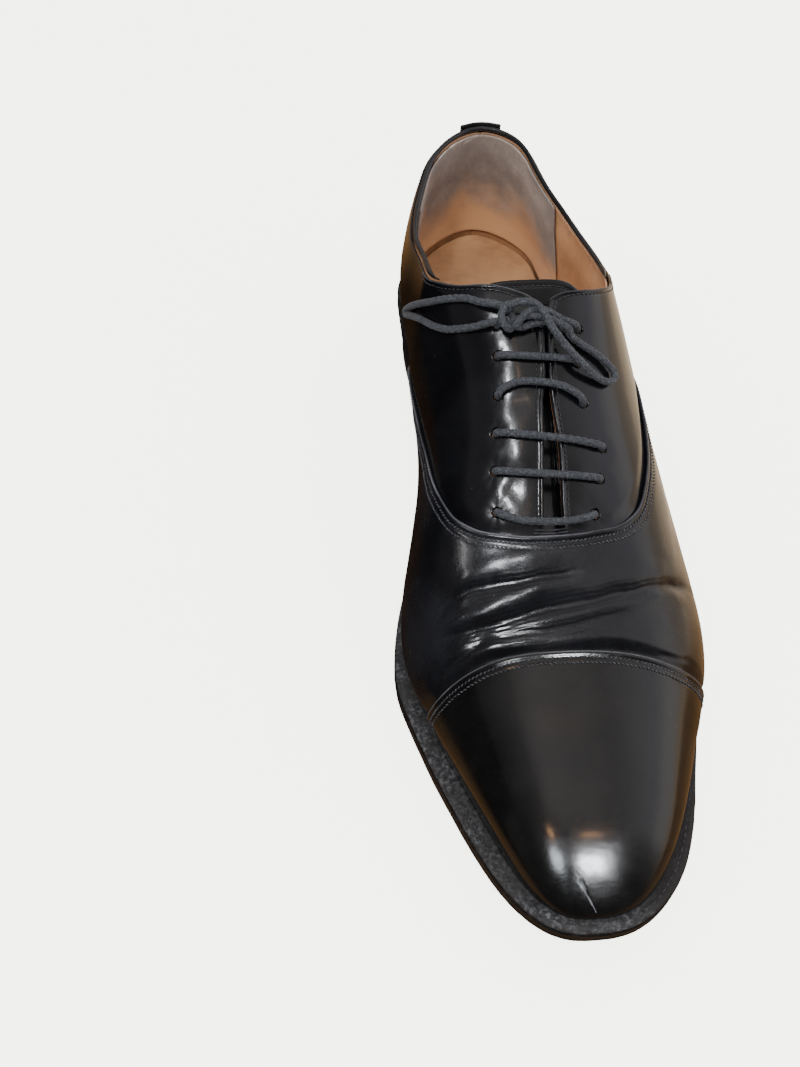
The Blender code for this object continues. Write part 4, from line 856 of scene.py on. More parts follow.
# ---------------------------------------------------------------- toe cap
qc = np.linspace(-1, 1, 221)
turns = np.radians(np.linspace(10, 90, 54))
tip_rows = TOE_FROM + (UPPER_TIP - TOE_FROM) * np.power(1 - np.power(np.cos(turns), TOE_B), 1 / TOE_A)
tip_rows[-1] = UPPER_TIP
start = CAP_SEAM(qc)
rows = [start + f for f in FINE]
lead = np.linspace(0, 1, 8)[1:-1]
for f in lead:
    rows.append((start + FINE[-1]) * (1 - f) + (tip_rows[0] + 3.0) * f)
tip_rows = tip_rows[tip_rows > tip_rows[0] + 3.0]
s = np.concatenate([np.stack(rows), np.repeat(tip_rows[:, None], len(qc), 1)])
q = np.repeat(qc[None, :], len(s), 0)
d = s - start[None, :]
base = at(s, q, 0.0)
soft = 0.16 * lumps(base, 26.0, seed=1.0) + 0.05 * lumps(base, 9.0, seed=4.0)
dent = -0.35 * np.exp(-(((s - 262) / 6) ** 2 + ((q + 0.33) / 0.10) ** 2)) * 0.6
# a scuff that has torn the finish at the tip
scuff_line = np.exp(-(((q - (-0.072 + (s - 288.6) * 0.0085)) * 30 / 0.5) ** 2)) * ease((s - 286.2) / 1.2) * ease((295.0 - s) / 1.2)
level = cap_level(s, q) + edge_bead(d, 0.2, 1.75, 3.3) + (soft + dent) * ease((UPPER_TIP - s) / 8) * ease(d / 8) - 0.05 * scuff_line * (1 + lumps(base, 0.8, seed=7))
toe = shell("v_toe_cap", at(s, q, level), at(s, q, cap_level(s, q) - 1.05), TOE, (0, 0, 1), closed=True, slot="upper_leather", replaces=("toe_cap",))


scuffs = [[(286.9, -0.092), (287.9, -0.079), (289.0, -0.071), (290.3, -0.060)], [(287.4, -0.072), (288.8, -0.062), (289.6, -0.052)], [(289.4, -0.078), (290.9, -0.058), (292.3, -0.044), (293.4, -0.030)], [(291.2, -0.046), (292.8, -0.030), (294.9, -0.006)]]
for k_, pts_ in enumerate(scuffs):
    path_ = smooth_path(np.array([at(a, b, cap_level(a, b) - 0.02) for a, b in pts_]), 0.12)
    wob = 0.10 * np.sin(np.arange(len(path_)) * 1.7 + k_)[:, None] * np.array([[1.0, 0.3, 0.0]])
    tube("v_scuff_%d" % (k_ + 1), path_ + wob, 0.10 if k_ != 2 else 0.13, SCUFF_MAT, 6, slot="upper_leather")


def line_on(s_, q_, level_):
    return at(s_, q_, level_), row_normal(s_, q_)


for k_, dist in enumerate((1.75, 3.3)):
    qq = np.linspace(-0.985, 0.985, 300)
    ss = CAP_SEAM(qq) + dist
    p_, n_ = line_on(ss, qq, cap_level(ss, qq) + 0.12)
    stitch_run("v_stitch_cap_%d" % (k_ + 1), p_, n_, THREAD, 1.4, 0.27, 0.92, 0.42 if k_ == 0 else -0.42, slot="upper_leather")

# ---------------------------------------------------------------- vamp
qv = np.concatenate([np.linspace(-1, -0.86, 60)[:-1], np.linspace(-0.86, 0.86, 250), np.linspace(0.86, 1, 60)[1:]])
MARGINS = np.concatenate([FINE, [6.8, 7.8, 9.0]])
rear_rows = []
for m_ in MARGINS:
    rear_rows.append(np.where(qv < 0, seam(-1, m_ if m_ else 0.0)(np.abs(qv)), seam(1, m_ if m_ else 0.0)(np.abs(qv))))
rear_rows = np.maximum.accumulate(np.stack(rear_rows) + np.arange(len(MARGINS))[:, None] * 0.004, axis=0)
front_v = CAP_SEAM(qv) + 7.8
body = np.linspace(0, 1, 108)[1:, None]
s = np.concatenate([rear_rows, rear_rows[-1][None, :] * (1 - body) + front_v[None, :] * body])
q = np.repeat(qv[None, :], len(s), 0)
base = at(s, q, 0.0)
dist = np.maximum(seam_distance(s, q), 0.0)
worn = creasing(s, q, base) * ease(dist / 5.0)
wave = 0.22 * lumps(base, 24.0, seed=2.0) + 0.08 * lumps(base, 8.0, seed=5.0)
wave = wave * ease((dist - 3) / 8) * ease((CAP_SEAM(q) - s) / 8)
level = vamp_level(s, q) + worn + wave + edge_bead(dist, 0.22, 1.75, 3.4) * ease((CAP_SEAM(q) - s) / 4)
low_level = vamp_level(s, q) - 0.95 + np.minimum(worn + wave, 0.0) * 0.6
shell("v_vamp", at(s, q, level), at(s, q, low_level), VAMP_MAT, (0, 0, 1), slot="upper_leather", replaces=("vamp",))

for k_, dist_ in enumerate((1.75, 3.4)):
    f_m, f_l = seam(-1, dist_), seam(1, dist_)
    qq = np.concatenate([np.linspace(-0.965, 0, 500), np.linspace(0, 0.965, 500)[1:]])
    ss = np.where(qq < 0, f_m(np.abs(qq)), f_l(np.abs(qq)))
    p_, n_ = line_on(ss, qq, vamp_level(ss, qq) + 0.14)
    stitch_run("v_stitch_vamp_%d" % (k_ + 1), p_, n_, THREAD, 1.4, 0.27, 0.92, 0.42 if k_ == 0 else -0.42, slot="upper_leather")

# worn, greyed rims of the folded edges
f_m, f_l = seam(-1, 0.0), seam(1, 0.0)
qq = np.linspace(-0.93, 0.93, 700)
ss = np.where(qq < 0, f_m(np.abs(qq)), f_l(np.abs(qq))) + 0.05
tube("v_worn_edge_vamp", resample(at(ss, qq, vamp_level(ss, qq) + 0.02), 0.6), 0.34, WORN_EDGE, 8, slot="upper_leather")
qq = np.linspace(-0.97, 0.97, 400)
ss = CAP_SEAM(qq) + 0.05
tube("v_worn_edge_cap", resample(at(ss, qq, cap_level(ss, qq) + 0.0), 0.6), 0.28, WORN_EDGE, 8, slot="upper_leather")

def quarter_level(s, q):
    d_ = seam_distance(s, q)
    return -0.62 * ease((d_ + 5.0) / 4.7) - 0.83 * ease((d_ - 0.2) / 2.0)


# ---------------------------------------------------------------- quarters and their linings
HOLES_M = [(129.0, 0.123), (137.7, 0.149), (149.0, 0.176), (159.6, 0.197), (170.4, 0.207), (182.3, 0.203)]
HOLES_L = [(131.0, 0.127), (141.0, 0.120), (153.0, 0.133), (165.3, 0.195), (174.7, 0.168), (185.2, 0.130)]


def smooth_columns(points, columns):
    """The edge table walked smoothly instead of by straight steps."""
    k_ = np.arange(len(points))
    a = spline(list(zip(k_, [p[0] for p in points])))(columns)
    b = spline(list(zip(k_, [p[1] for p in points])))(columns)
    return a, b


def fine_quarter(side, columns, fine, rest, margin, drop=0.0):
    top = TOP_M if side < 0 else TOP_L
    low = LOW_M if side < 0 else LOW_L
    front = seam(side, margin)
    ts, tq = smooth_columns(top, columns)
    ts = np.maximum(ts, 0.004)
    low_pts = [(v if v > 0 else float(front(-v)), 1.0 if v > 0 else -v) for v in low]
    k_ = np.arange(len(low))
    ls, lq = np.interp(columns, k_, [p[0] for p in low_pts]), np.interp(columns, k_, [p[1] for p in low_pts])
    span_ = np.linalg.norm(at(ts, side * tq, 0.0) - at(ls, side * lq, 0.0), axis=-1)
    first = fine[None, :] / span_[:, None]
    tail = first[:, -1:] + (1 - first[:, -1:]) * rest[None, :]
    r = np.concatenate([first, tail], 1)
    s_ = ts[:, None] * (1 - r) + ls[:, None] * r
    q_ = (tq[:, None] + drop) * (1 - r) + lq[:, None] * r
    return s_, side * q_


def stroke(side, s, q, base):
    """Puckers round the lace holes, and the pull of the laces across the facing."""
    out = np.zeros(s.shape)
    for hs, hq in HOLES_M if side < 0 else HOLES_L:
        ds, dq = s - hs, (np.abs(q) - hq) * ARC
        r_ = np.hypot(ds, dq)
        a_ = np.arctan2(ds, dq)
        pull = 0.3 + 0.7 * float(ease((hs - 150) / 25.0))
        out += pull * (-0.28 * np.exp(-((r_ / 3.4) ** 2)) + 0.07 * np.exp(-(((r_ - 4.8) / 2.0) ** 2)))
        out += pull * 0.03 * np.exp(-((r_ / 6.0) ** 2)) * np.cos(7 * a_ + hs)
    return out


cols = np.concatenate([np.linspace(0, 8, 70)[:-1], np.linspace(8, 14, 46)[:-1], np.linspace(14, 21.5, 90)[:-1], np.linspace(21.5, 30, 96)])
quarters = {}
for side, word in ((-1, "medial"), (1, "lateral")):
    s, q = fine_quarter(side, cols, FINE, np.linspace(0, 1, 62)[1:], SEAM_TUCK)
    base = at(s, q, 0.0)
    d_top = np.concatenate([np.zeros((len(s), 1)), np.cumsum(np.linalg.norm(np.diff(base, axis=1), axis=-1), axis=1)], 1)
    facing = ease((cols - 19.0) / 2.5)[:, None]
    front_top = ease((cols - 13.0) / 2.0)[:, None]
    bead = edge_bead(d_top, 0.2, 2.0, None, 0.12) * front_top
    bead += facing * 0.12 * np.exp(-(((d_top - 0.5) / 0.4) ** 2))
    soft = 0.3 * lumps(base, 30.0, seed=6.0) + 0.06 * lumps(base, 10.0, seed=8.0)
    soft = soft * ease(d_top / 9) * ease((-seam_distance(s, q) - 1) / 8) * ease(s / 8)
    tuck = ease((-seam_distance(s, q)) / 3.0)
    pull = stroke(side, s, q, base) * (1.0 if side < 0 else 0.7) * ease(d_top / 2.5 + 0.2)
    # the medial facing has stretched into soft hollows between the laces
    if side < 0:
        pull += -0.45 * np.exp(-(((s - 176) / 6.5) ** 2 + ((q + 0.13) / 0.05) ** 2)) + 0.35 * np.exp(-(((s - 167) / 6.0) ** 2 + ((q + 0.10) / 0.05) ** 2))
        pull += -0.3 * np.exp(-(((s - 152) / 4.0) ** 2 + ((q + 0.08) / 0.05) ** 2))
    level = quarter_level(s, q) + (bead + soft + pull) * tuck
    quarters[word] = shell("v_quarter_" + word, at(s, q, level), at(s, q, quarter_level(s, q) - 1.0 + (soft + pull) * tuck * 0.7), UPPER, (side, 0, 0.3), slot="upper_leather", replaces=("quarter_" + word,))
    # lining
    sl, ql = fine_quarter(side, cols[::2], np.array([0, 0.3, 0.8, 1.6, 2.6, 4.0]), np.linspace(0, 1, 40)[1:], SEAM_TUCK + 0.4, 0.004)
    bl = at(sl, ql, 0.0)
    dl = np.concatenate([np.zeros((len(sl), 1)), np.cumsum(np.linalg.norm(np.diff(bl, axis=1), axis=-1), axis=1)], 1)
    edge = np.clip((22.0 - cols[::2]) / 3.0, 0, 1)[:, None]
    rise = 1 - ease(dl / 12.0)
    lev = LINING_LEVEL + rise * (1.35 * edge + 0.35 * (1 - edge))
    ripple = (0.18 * lumps(bl, 14.0, seed=11.0) + 0.08 * lumps(bl, 5.0, seed=13.0)) * ease(dl / 8)
    quarters["lining_" + word] = shell("v_quarter_lining_" + word, at(sl, ql, lev), at(sl, ql, lev - 0.8 + ripple), LINING_MAT, (side, 0, 0.3), slot="lining_leather", replaces=("quarter_lining_" + word,))
    # stitches: down the facing, round its top corner and back along the collar
    c2 = np.linspace(13.4, 30, 900)
    ts, tq = smooth_columns(TOP_M if side < 0 else TOP_L, c2)
    lo_s, lo_q = fine_quarter(side, c2, np.array([0.0, 2.0]), np.array([1.0]), SEAM_TUCK)
    p_, n_ = line_on(lo_s[:, 1], lo_q[:, 1], quarter_level(lo_s[:, 1], lo_q[:, 1]) + 0.12)
    stop = lo_s[:, 1] < 188.0
    rim_s, rim_q = fine_quarter(side, np.linspace(13.2, 21.5, 260), np.array([0.0]), np.array([1.0]), SEAM_TUCK)
    tube("v_worn_edge_front_" + word, resample(at(rim_s[:, 0], rim_q[:, 0], quarter_level(rim_s[:, 0], rim_q[:, 0]) - 0.05), 0.6), 0.3, WORN_EDGE, 8, slot="upper_leather")
    stitch_run("v_stitch_facing_" + word, p_[stop], n_[stop], THREAD, 1.7, 0.2, 0.74, 0.1 * side, slot="upper_leather")

# the same punched holes as in the part
for side, word, holes in ((-1, "medial", HOLES_M), (1, "lateral", HOLES_L)):
    verts, faces = [], []
    for s0, q0 in holes:
        a, b = at(s0, side * q0, 3.0), at(s0, side * q0, -6.0)
        ax = (a - b) / np.linalg.norm(a - b)
        e1 = np.cross(ax, [0, 1.0, 0])
        e1 /= np.linalg.norm(e1)
        e2 = np.cross(ax, e1)
        base_i, seg = len(verts), 20
        for end in (b, a):
            for j in range(seg):
                w = 2 * math.pi * j / seg
                verts.append(end + e1 * 1.7 * math.cos(w) + e2 * 1.7 * math.sin(w))
        for j in range(seg):
            j2 = (j + 1) % seg
            faces.append([base_i + j, base_i + j2, base_i + seg + j2, base_i + seg + j])
        faces.append([base_i + j for j in range(seg)][::-1])
        faces.append([base_i + seg + j for j in range(seg)])
    me = bpy.data.meshes.new("punch_" + word)
    me.from_pydata([tuple(np.asarray(v) * MM) for v in verts], [], faces)
    punch = bpy.data.objects.new("punch_" + word, me)
    bpy.context.scene.collection.objects.link(punch)
    bpy.context.view_layer.update()
    for target in (quarters[word], quarters["lining_" + word]):
        mod = target.modifiers.new("holes", "BOOLEAN")
        mod.operation = "DIFFERENCE"
        mod.solver = "EXACT"
        mod.object = punch
        dg = bpy.context.evaluated_depsgraph_get()
        cut = bpy.data.meshes.new_from_object(target.evaluated_get(dg))
        target.modifiers.clear()
        if len(cut.polygons) > 1000:
            target.data = cut
    bpy.data.objects.remove(punch, do_unlink=True)

# bar tack across the foot of the facings
for k_, (s0, q0, q1) in enumerate(((190.2, -0.062, 0.032), (189.3, -0.058, 0.030))):
    qq = np.linspace(q0, q1, 30)
    ss = np.full(qq.shape, s0) + 0.4 * np.sin(np.linspace(0, 3, 30))
    p_, n_ = line_on(ss, qq, quarter_level(ss, qq) + 0.35)
    tube("v_bar_tack_%d" % (k_ + 1), p_, 0.33, THREAD, 10, slot="upper_leather")

# ---------------------------------------------------------------- binding, back tab, heel lining
run_b = []
for side, top in ((-1, TOP_M), (1, TOP_L)):
    pts = [(a, b) for a, b in top if a < 106.0 and a not in (0.004, 0.3)]
    k_ = np.arange(len(pts))
    cc = np.linspace(0, len(pts) - 1, 220)
    aa = spline(list(zip(k_, [p[0] for p in pts])))(cc)
    bb = spline(list(zip(k_, [p[1] for p in pts])))(cc)
    p_ = at(np.maximum(aa, 0.3), side * (bb - 0.0215), -1.7)
    run_b = list(p_[::-1]) + [at(0.0, 0.5265, -1.7)] if side < 0 else run_b + list(p_)
bind = resample(np.array(run_b), 0.9)
bind = bind + np.stack([0.05 * lumps(bind, 6.0, seed=k_) for k_ in (1.0, 2.0, 3.0)], -1)
obj = tube("v_topline_binding", bind, 0.95, TRIM, 16, slot="edge_trim", replaces=("topline_binding",))
run_len = np.concatenate([[0], np.cumsum(np.linalg.norm(np.diff(bind, axis=0), axis=1))])
from_end = np.minimum(run_len, run_len[-1] - run_len)
shrink_b = np.concatenate([np.repeat(0.28 + 0.72 * ease(from_end / 9.0), 16), [1, 1]])
mid_b = np.concatenate([np.repeat(bind, 16, 0), [bind[0]], [bind[-1]]])
co = np.array([v.co for v in obj.data.vertices]) / MM
co = mid_b + (co - mid_b) * shrink_b[:, None]
for v, c_ in zip(obj.data.vertices, co * MM):
    v.co = Vector(c_)
# collar stitches just under the binding, outside
for side, word in ((-1, "medial"), (1, "lateral")):
    c2 = np.linspace(2.5, 15.0, 700)
    lo_s, lo_q = fine_quarter(side, c2, np.array([0.0, 1.9]), np.array([1.0]), SEAM_TUCK)
    p_, n_ = line_on(lo_s[:, 1], lo_q[:, 1], quarter_level(lo_s[:, 1], lo_q[:, 1]) + 0.03)
    stitch_run("v_stitch_collar_" + word, p_, n_, THREAD, 1.7, 0.19, 0.74, slot="upper_leather")


def heel_round(end, q_low, q_high, rows_, count=34):
    st = np.concatenate([[0.3, 0.7, 1.3, 2.2, 3.4, 5.0], np.linspace(7, end, count)]) if end > 8 else np.linspace(0.05, end, 10)
    signed = np.concatenate([-st[::-1], [0.0], st])
    s_ = np.repeat(np.abs(signed)[:, None], len(rows_), 1)
    sg = np.where(signed < 0, -1.0, 1.0)[:, None]
    r = np.asarray(rows_, float)[None, :]
    return s_, sg * (q_low(s_) * (1 - r) + q_high(s_) * r)


TOP_EDGE = table([(0, 0.548), (9, 0.556), (15, 0.569), (26, 0.594), (38, 0.613), (49, 0.621), (60, 0.617), (80, 0.57)])
rr = np.linspace(0, 1, 56)
s, q = heel_round(46.0, lambda t: TOP_EDGE(t) + 0.003, lambda t: 0.972 + 0 * t, rr)
s = s * (1 + 0.2 * rr[None, :] * ease(s / 46.0))
below = np.abs(q) - TOP_EDGE(s)
level = -2.75 - 1.35 * ease(below / 0.13)
pts = at(s, q, level)
fuzz = 0.12 * lumps(pts, 7.0, seed=21.0) + 0.05 * lumps(pts, 1.6, seed=22.0)
shell("v_heel_lining", pts, at(s, q, level - 0.8 + fuzz), SUEDE, (0, 1, 0.0), slot="suede", replaces=("heel_lining",))

# back tab: a folded strap over the collar at the heel
s, q = heel_round(2.1, lambda t: 0.526 + 0 * t, lambda t: 0.775 + 0 * t, np.linspace(0, 1, 40))
dq = (np.abs(q) - 0.526) * ARC
lev = 1.2 + 0.2 * np.exp(-(((s - 1.9) / 0.15) ** 2)) - 0.10 * np.exp(-(((dq - 3.0) / 0.5) ** 2)) + 0.25 * np.exp(-((dq / 0.9) ** 2))
shell("v_back_tab", at(s, q, lev), at(s, q, 0.45 + 0 * lev), TRIM, (0, 1, 0), slot="upper_leather", replaces=("back_tab",))

# ---------------------------------------------------------------- tongue
TONGUE_TOP = spline([(-0.31, 127.6), (-0.27, 121.2), (-0.2, 116.8), (-0.1, 114.2), (0.0, 113.5), (0.1, 114.2), (0.2, 116.8), (0.27, 121.2), (0.31, 127.6)])
TONGUE_LEVEL = spline([(110, -4.7), (115, -4.9), (120, -6.1), (125, -7.2), (131, -7.45), (150, -7.45), (176, -7.45), (186, -6.7), (193, -5.4), (200, -5.1)])
tc = np.linspace(-0.31, 0.31, 90)
first = TONGUE_TOP(tc)
r = np.concatenate([FINE / 80.0, np.linspace(FINE[-1] / 80.0, 1, 70)[1:]])
s = first[None, :] + (196.2 - first[None, :]) * r[:, None]
narrow = 1 - 0.42 * ease((s - 130) / 65)
q = tc[None, :] * narrow
base = at(s, q, 0.0)
lev = TONGUE_LEVEL(s) + 0.15 * lumps(base, 12.0, seed=31.0) * ease((s - 120) / 6) + edge_bead(s - first[None, :], 0.12, 2.0)
shell("v_tongue", at(s, q, lev), at(s, q, TONGUE_LEVEL(s) - 1.2), UPPER, (0, 0, 1), body="tongue", slot="upper_leather", replaces=("tongue",))
lev2 = TONGUE_LEVEL(s) - 1.6
shell("v_tongue_lining", at(s, q * 0.985, lev2), at(s, q * 0.985, lev2 - 0.9), LINING_MAT, (0, 0, 1), body="tongue", slot="lining_leather", replaces=("tongue_lining",))
tq_ = np.linspace(-0.295, 0.295, 160)
ss = TONGUE_TOP(tq_) + 2.0
p_, n_ = line_on(ss, tq_, TONGUE_LEVEL(ss) + 0.12)
stitch_run("v_stitch_tongue", p_, n_, THREAD, 1.7, 0.2, 0.74, body="tongue", slot="upper_leather")
ss = TONGUE_TOP(tq_) + 0.1
p_, n_ = line_on(ss, tq_, TONGUE_LEVEL(ss) - 0.75)
tube("v_tongue_edge", resample(p_, 0.8), 0.55, WORN_EDGE, 10, body="tongue", slot="textile")

# ================================================================ laces
OVER, UNDER = 1.75, -5.4


def leg(side, hole):
    s0, q0 = hole
    return [(s0, side * q0, v) for v in (UNDER + 0.5, -3.7, -2.2, -0.7)]


# how far each bar bows from the straight line between its holes, mm of station and mm of lift
BOW = {1: (0.6, 0.0), 2: (-3.6, 0.3), 3: (0.9, 0.0), 4: (1.2, 0.0), 5: (3.6, 0.0)}


def bar(i):
    (sm, qm), (sl, ql) = HOLES_M[i], HOLES_L[i]
    pts = leg(-1, (sm, qm))
    bow, rise = BOW[i]
    for f in (0.022, 0.11, 0.3, 0.5, 0.7, 0.89, 0.978):
        off = 1.0 if f in (0.022, 0.978) else OVER + rise
        arch = bow * (1 - abs(2 * f - 1) ** 2.4)
        pts.append((sm + (sl - sm) * f + arch, -qm + (ql + qm) * f, off))
    return pts + leg(1, (sl, ql))[::-1]


def run(side, holes, i, j, shift=0.0):
    out = []
    a, b = holes[i], holes[j]
    if abs(i - j) == 2:
        c = holes[(i + j) // 2]
        out = [((a[0] * 0.7 + c[0] * 0.3), side * (a[1] * 0.7 + (c[1] + shift) * 0.3), UNDER), (c[0], side * (c[1] + shift), UNDER), ((b[0] * 0.7 + c[0] * 0.3), side * (b[1] * 0.7 + (c[1] + shift) * 0.3), UNDER)]
    else:
        out.append(((a[0] + b[0]) / 2, side * (a[1] + b[1]) / 2, UNDER))
    return out


M, L = HOLES_M, HOLES_L
route = [(128.9, -0.104, 1.6), (129.0, -0.119, 0.6)] + leg(-1, M[0])[::-1]
route += run(-1, M, 0, 2, 0.05) + bar(2) + run(1, L, 2, 4, -0.05) + bar(4)[::-1]
route += run(-1, M, 4, 5) + bar(5) + run(1, L, 5, 3, 0.05) + bar(3)[::-1]
route += run(-1, M, 3, 1, -0.05) + bar(1) + run(1, L, 1, 0)
route += leg(1, L[0]) + [(130.4, 0.112, 0.9), (130.0, 0.085, 1.7), (129.5, 0.056, 2.2), (128.6, 0.028, 3.0)]
tube("v_lace", smooth_path([at(a, b, c) for a, b, c in route], 0.28), LACE_R, LACE, 24, 0.13, slot="lace_cotton", replaces=("lace",))


def strand(name, pts, around=24, **kw):
    return tube(name, smooth_path([at(a, b, c) for a, b, c in pts], 0.28), LACE_R, LACE, around, 0.13, slot="lace_cotton", **kw)


# the knot: a wrap round the bundle at its medial side, and the strands that come out of it
wrap = [at(a, b, c) for a, b, c in [(124.9, -0.063, 4.2), (126.4, -0.086, 5.3), (128.6, -0.099, 5.6), (130.9, -0.096, 5.2), (131.9, -0.079, 3.7), (130.1, -0.064, 1.8), (127.3, -0.06, 1.6), (125.2, -0.057, 2.4)]]
closed_wrap = smooth_path(np.array(wrap[-2:] + wrap + wrap[:2]), 0.28)
near = [int(np.argmin(np.linalg.norm(closed_wrap - w, axis=1))) for w in (wrap[0],)]
full = smooth_path(np.array(wrap * 3), 0.28)
lo = int(np.argmin(np.linalg.norm(full[len(full) // 5:len(full) // 2] - wrap[0], axis=1))) + len(full) // 5
hi = lo + 12 + int(np.argmin(np.linalg.norm(full[lo + 12:lo + 12 + len(full) // 2] - full[lo], axis=1)))
tube("v_knot_wrap", full[lo:hi], LACE_R, LACE, 24, 0.13, ring=True, slot="lace_cotton", replaces=("lace_knot",))
strand("v_knot_over", [(126.7, -0.081, 3.2), (125.6, -0.065, 4.6), (125.3, -0.047, 5.6), (125.3, -0.026, 6.2), (125.9, -0.005, 6.2), (127.4, 0.001, 6.0), (129.5, 0.008, 6.0), (131.6, 0.013, 6.1), (133.4, 0.021, 6.2), (134.9, 0.030, 6.2), (135.8, 0.038, 6.0)])
strand("v_knot_cross_1", [(131.1, -0.077, 2.8), (131.1, -0.054, 4.6), (128.9, -0.027, 5.8), (127.3, -0.004, 5.2), (127.6, 0.012, 4.2), (128.4, 0.028, 3.2), (129.2, 0.050, 2.4)])
strand("v_knot_cross_2", [(129.3, -0.065, 3.0), (129.5, -0.044, 4.0), (129.0, -0.019, 4.8), (129.4, 0.004, 4.6), (130.6, 0.030, 4.0), (131.6, 0.052, 3.6), (132.5, 0.075, 3.2), (133.4, 0.081, 2.8)])
strand("v_knot_under", [(128.6, -0.084, 3.0), (130.9, -0.066, 3.2), (131.6, -0.038, 2.8), (130.8, -0.009, 2.6), (130.0, 0.016, 2.4)])

LOOP_M = [(123.2, -0.128, 3.6), (121.4, -0.165, 2.4), (118.5, -0.217, 1.9), (114.9, -0.312, 1.8), (111.2, -0.399, 1.8), (104.8, -0.509, 1.8), (96.5, -0.625, 1.8), (91.5, -0.690, 1.9), (93.8, -0.684, 1.8), (101.5, -0.603, 1.8), (110.9, -0.499, 1.8), (117.5, -0.430, 1.8), (122.5, -0.363, 1.8), (125.4, -0.297, 1.8), (127.5, -0.222, 1.9), (128.4, -0.160, 2.6)]
LOOP_L = [(134.9, 0.030, 6.2), (137.2, 0.049, 5.6), (139.8, 0.078, 4.9), (142.8, 0.119, 4.2), (144.7, 0.167, 2.6), (145.4, 0.214, 1.8), (145.1, 0.250, 1.8), (143.5, 0.280, 1.8), (141.2, 0.284, 1.8), (139.5, 0.248, 1.8), (138.0, 0.193, 1.8), (136.3, 0.131, 1.9), (134.4, 0.088, 2.2), (132.5, 0.075, 3.2)]
# short leads from the knot to each loop's first and last point
strand("v_knot_lead_1", [(126.6, -0.062, 3.6), (124.9, -0.086, 3.7), (123.9, -0.107, 3.7), LOOP_M[0], (122.3, -0.146, 2.95)])
strand("v_knot_lead_2", [(128.0, -0.182, 2.3), LOOP_M[-1], (128.6, -0.132, 3.1), (128.8, -0.100, 3.2), (128.9, -0.075, 3.0)])
LOOPS = {}
for word, table_ in (("medial", LOOP_M), ("lateral", LOOP_L)):
    path = smooth_path([at(a, b, c) for a, b, c in table_], 0.28)
    obj = tube("v_lace_loop_" + word, path, LACE_R, LACE, 24, 0.13, slot="lace_cotton", replaces=("lace_loop_" + word,))
    length = float(np.linalg.norm(np.diff(path, axis=0), axis=1).sum()) * MM
    LOOPS[word] = length
print("loops", LOOPS)

END_M = [(122.8, -0.004, 2.3), (121.6, 0.012, 1.2), (121.0, 0.018, -0.5), (120.9, 0.018, -2.3), (121.3, 0.018, -4.0), (122.8, 0.014, -5.1), (126.0, 0.004, -5.6), (130.5, -0.012, -5.65), (137.0, -0.024, -5.65), (145.0, -0.03, -5.65), (152.0, -0.03, -5.65)]
END_L = [(122.6, 0.054, 2.5), (120.9, 0.054, 2.2), (119.3, 0.052, 1.0), (118.6, 0.050, -0.6), (118.5, 0.050, -2.4), (119.6, 0.052, -4.1), (122.4, 0.056, -5.15), (126.5, 0.060, -5.6), (131.0, 0.060, -5.65), (138.0, 0.056, -5.65), (148.0, 0.052, -5.65), (156.0, 0.05, -5.65)]
for word, table_ in (("medial", END_M), ("lateral", END_L)):
    # each end leaves from under the knot and is squeezed down the slit between the facings
    if word == "medial":
        pts_ = [(127.6, -0.030, 2.7), (127.2, -0.006, 2.2), (127.0, 0.005, 0.9), (127.1, 0.006, -0.8), (127.4, 0.006, -2.6), (128.6, 0.000, -4.5)] + [v for v in table_ if v[0] > 132.0]
    else:
        pts_ = [(129.2, 0.024, 2.7), (129.9, 0.009, 2.2), (130.2, 0.005, 0.9), (130.3, 0.006, -0.8), (130.6, 0.012, -2.6), (131.6, 0.032, -4.6)] + [v for v in table_ if v[0] > 134.0]
    mid_ = smooth_path([at(a, b, c) for a, b, c in pts_], 0.28)
    obj = strand("v_lace_end_" + word, pts_, replaces=("lace_end_" + word,))
    co = np.array([v.co for v in obj.data.vertices]) / MM
    n_ring = (len(co) - 2) // len(mid_)
    if len(co) == n_ring * len(mid_) + 2:
        drop_ = np.abs(np.linalg.norm(mid_ - at(pts_[3][0], pts_[3][1], pts_[3][2]), axis=1))
        pinch = 1 - 0.42 * np.exp(-((drop_ / 3.2) ** 4))
        axis_ = np.concatenate([np.repeat(mid_, n_ring, 0), [mid_[0]], [mid_[-1]]])
        pinch = np.concatenate([np.repeat(pinch, n_ring), [1, 1]])
        co[:, 0] = axis_[:, 0] + (co[:, 0] - axis_[:, 0]) * pinch
        for v, c_ in zip(obj.data.vertices, co * MM):
            v.co = Vector(c_)
    a, b, c = table_[-1]
    begin = at(a, b, c)
    along = at(a + 1.0, b, c) - begin
    along /= np.linalg.norm(along)
    # crimped sleeve: two waists pressed into it
    pp = np.array([begin + along * (0.35 + t) for t in np.linspace(0, AGLET_LENGTH - 0.4, 60)])
    obj = tube("v_aglet_" + word, pp, AGLET_R * 0.96, AGLET, 20, slot="aglet_plastic", replaces=("aglet_" + word,))
    co = np.array([v.co for v in obj.data.vertices]) / MM
    t = (co - begin) @ along
    axis_pts = begin + np.outer(t, along)
    squeeze = 1 - 0.10 * np.exp(-(((t - 4) / 0.7) ** 2)) - 0.10 * np.exp(-(((t - 18) / 0.7) ** 2))
    co = axis_pts + (co - axis_pts) * squeeze[:, None]
    for v, c_ in zip(obj.data.vertices, co * MM):
        v.co = Vector(c_)

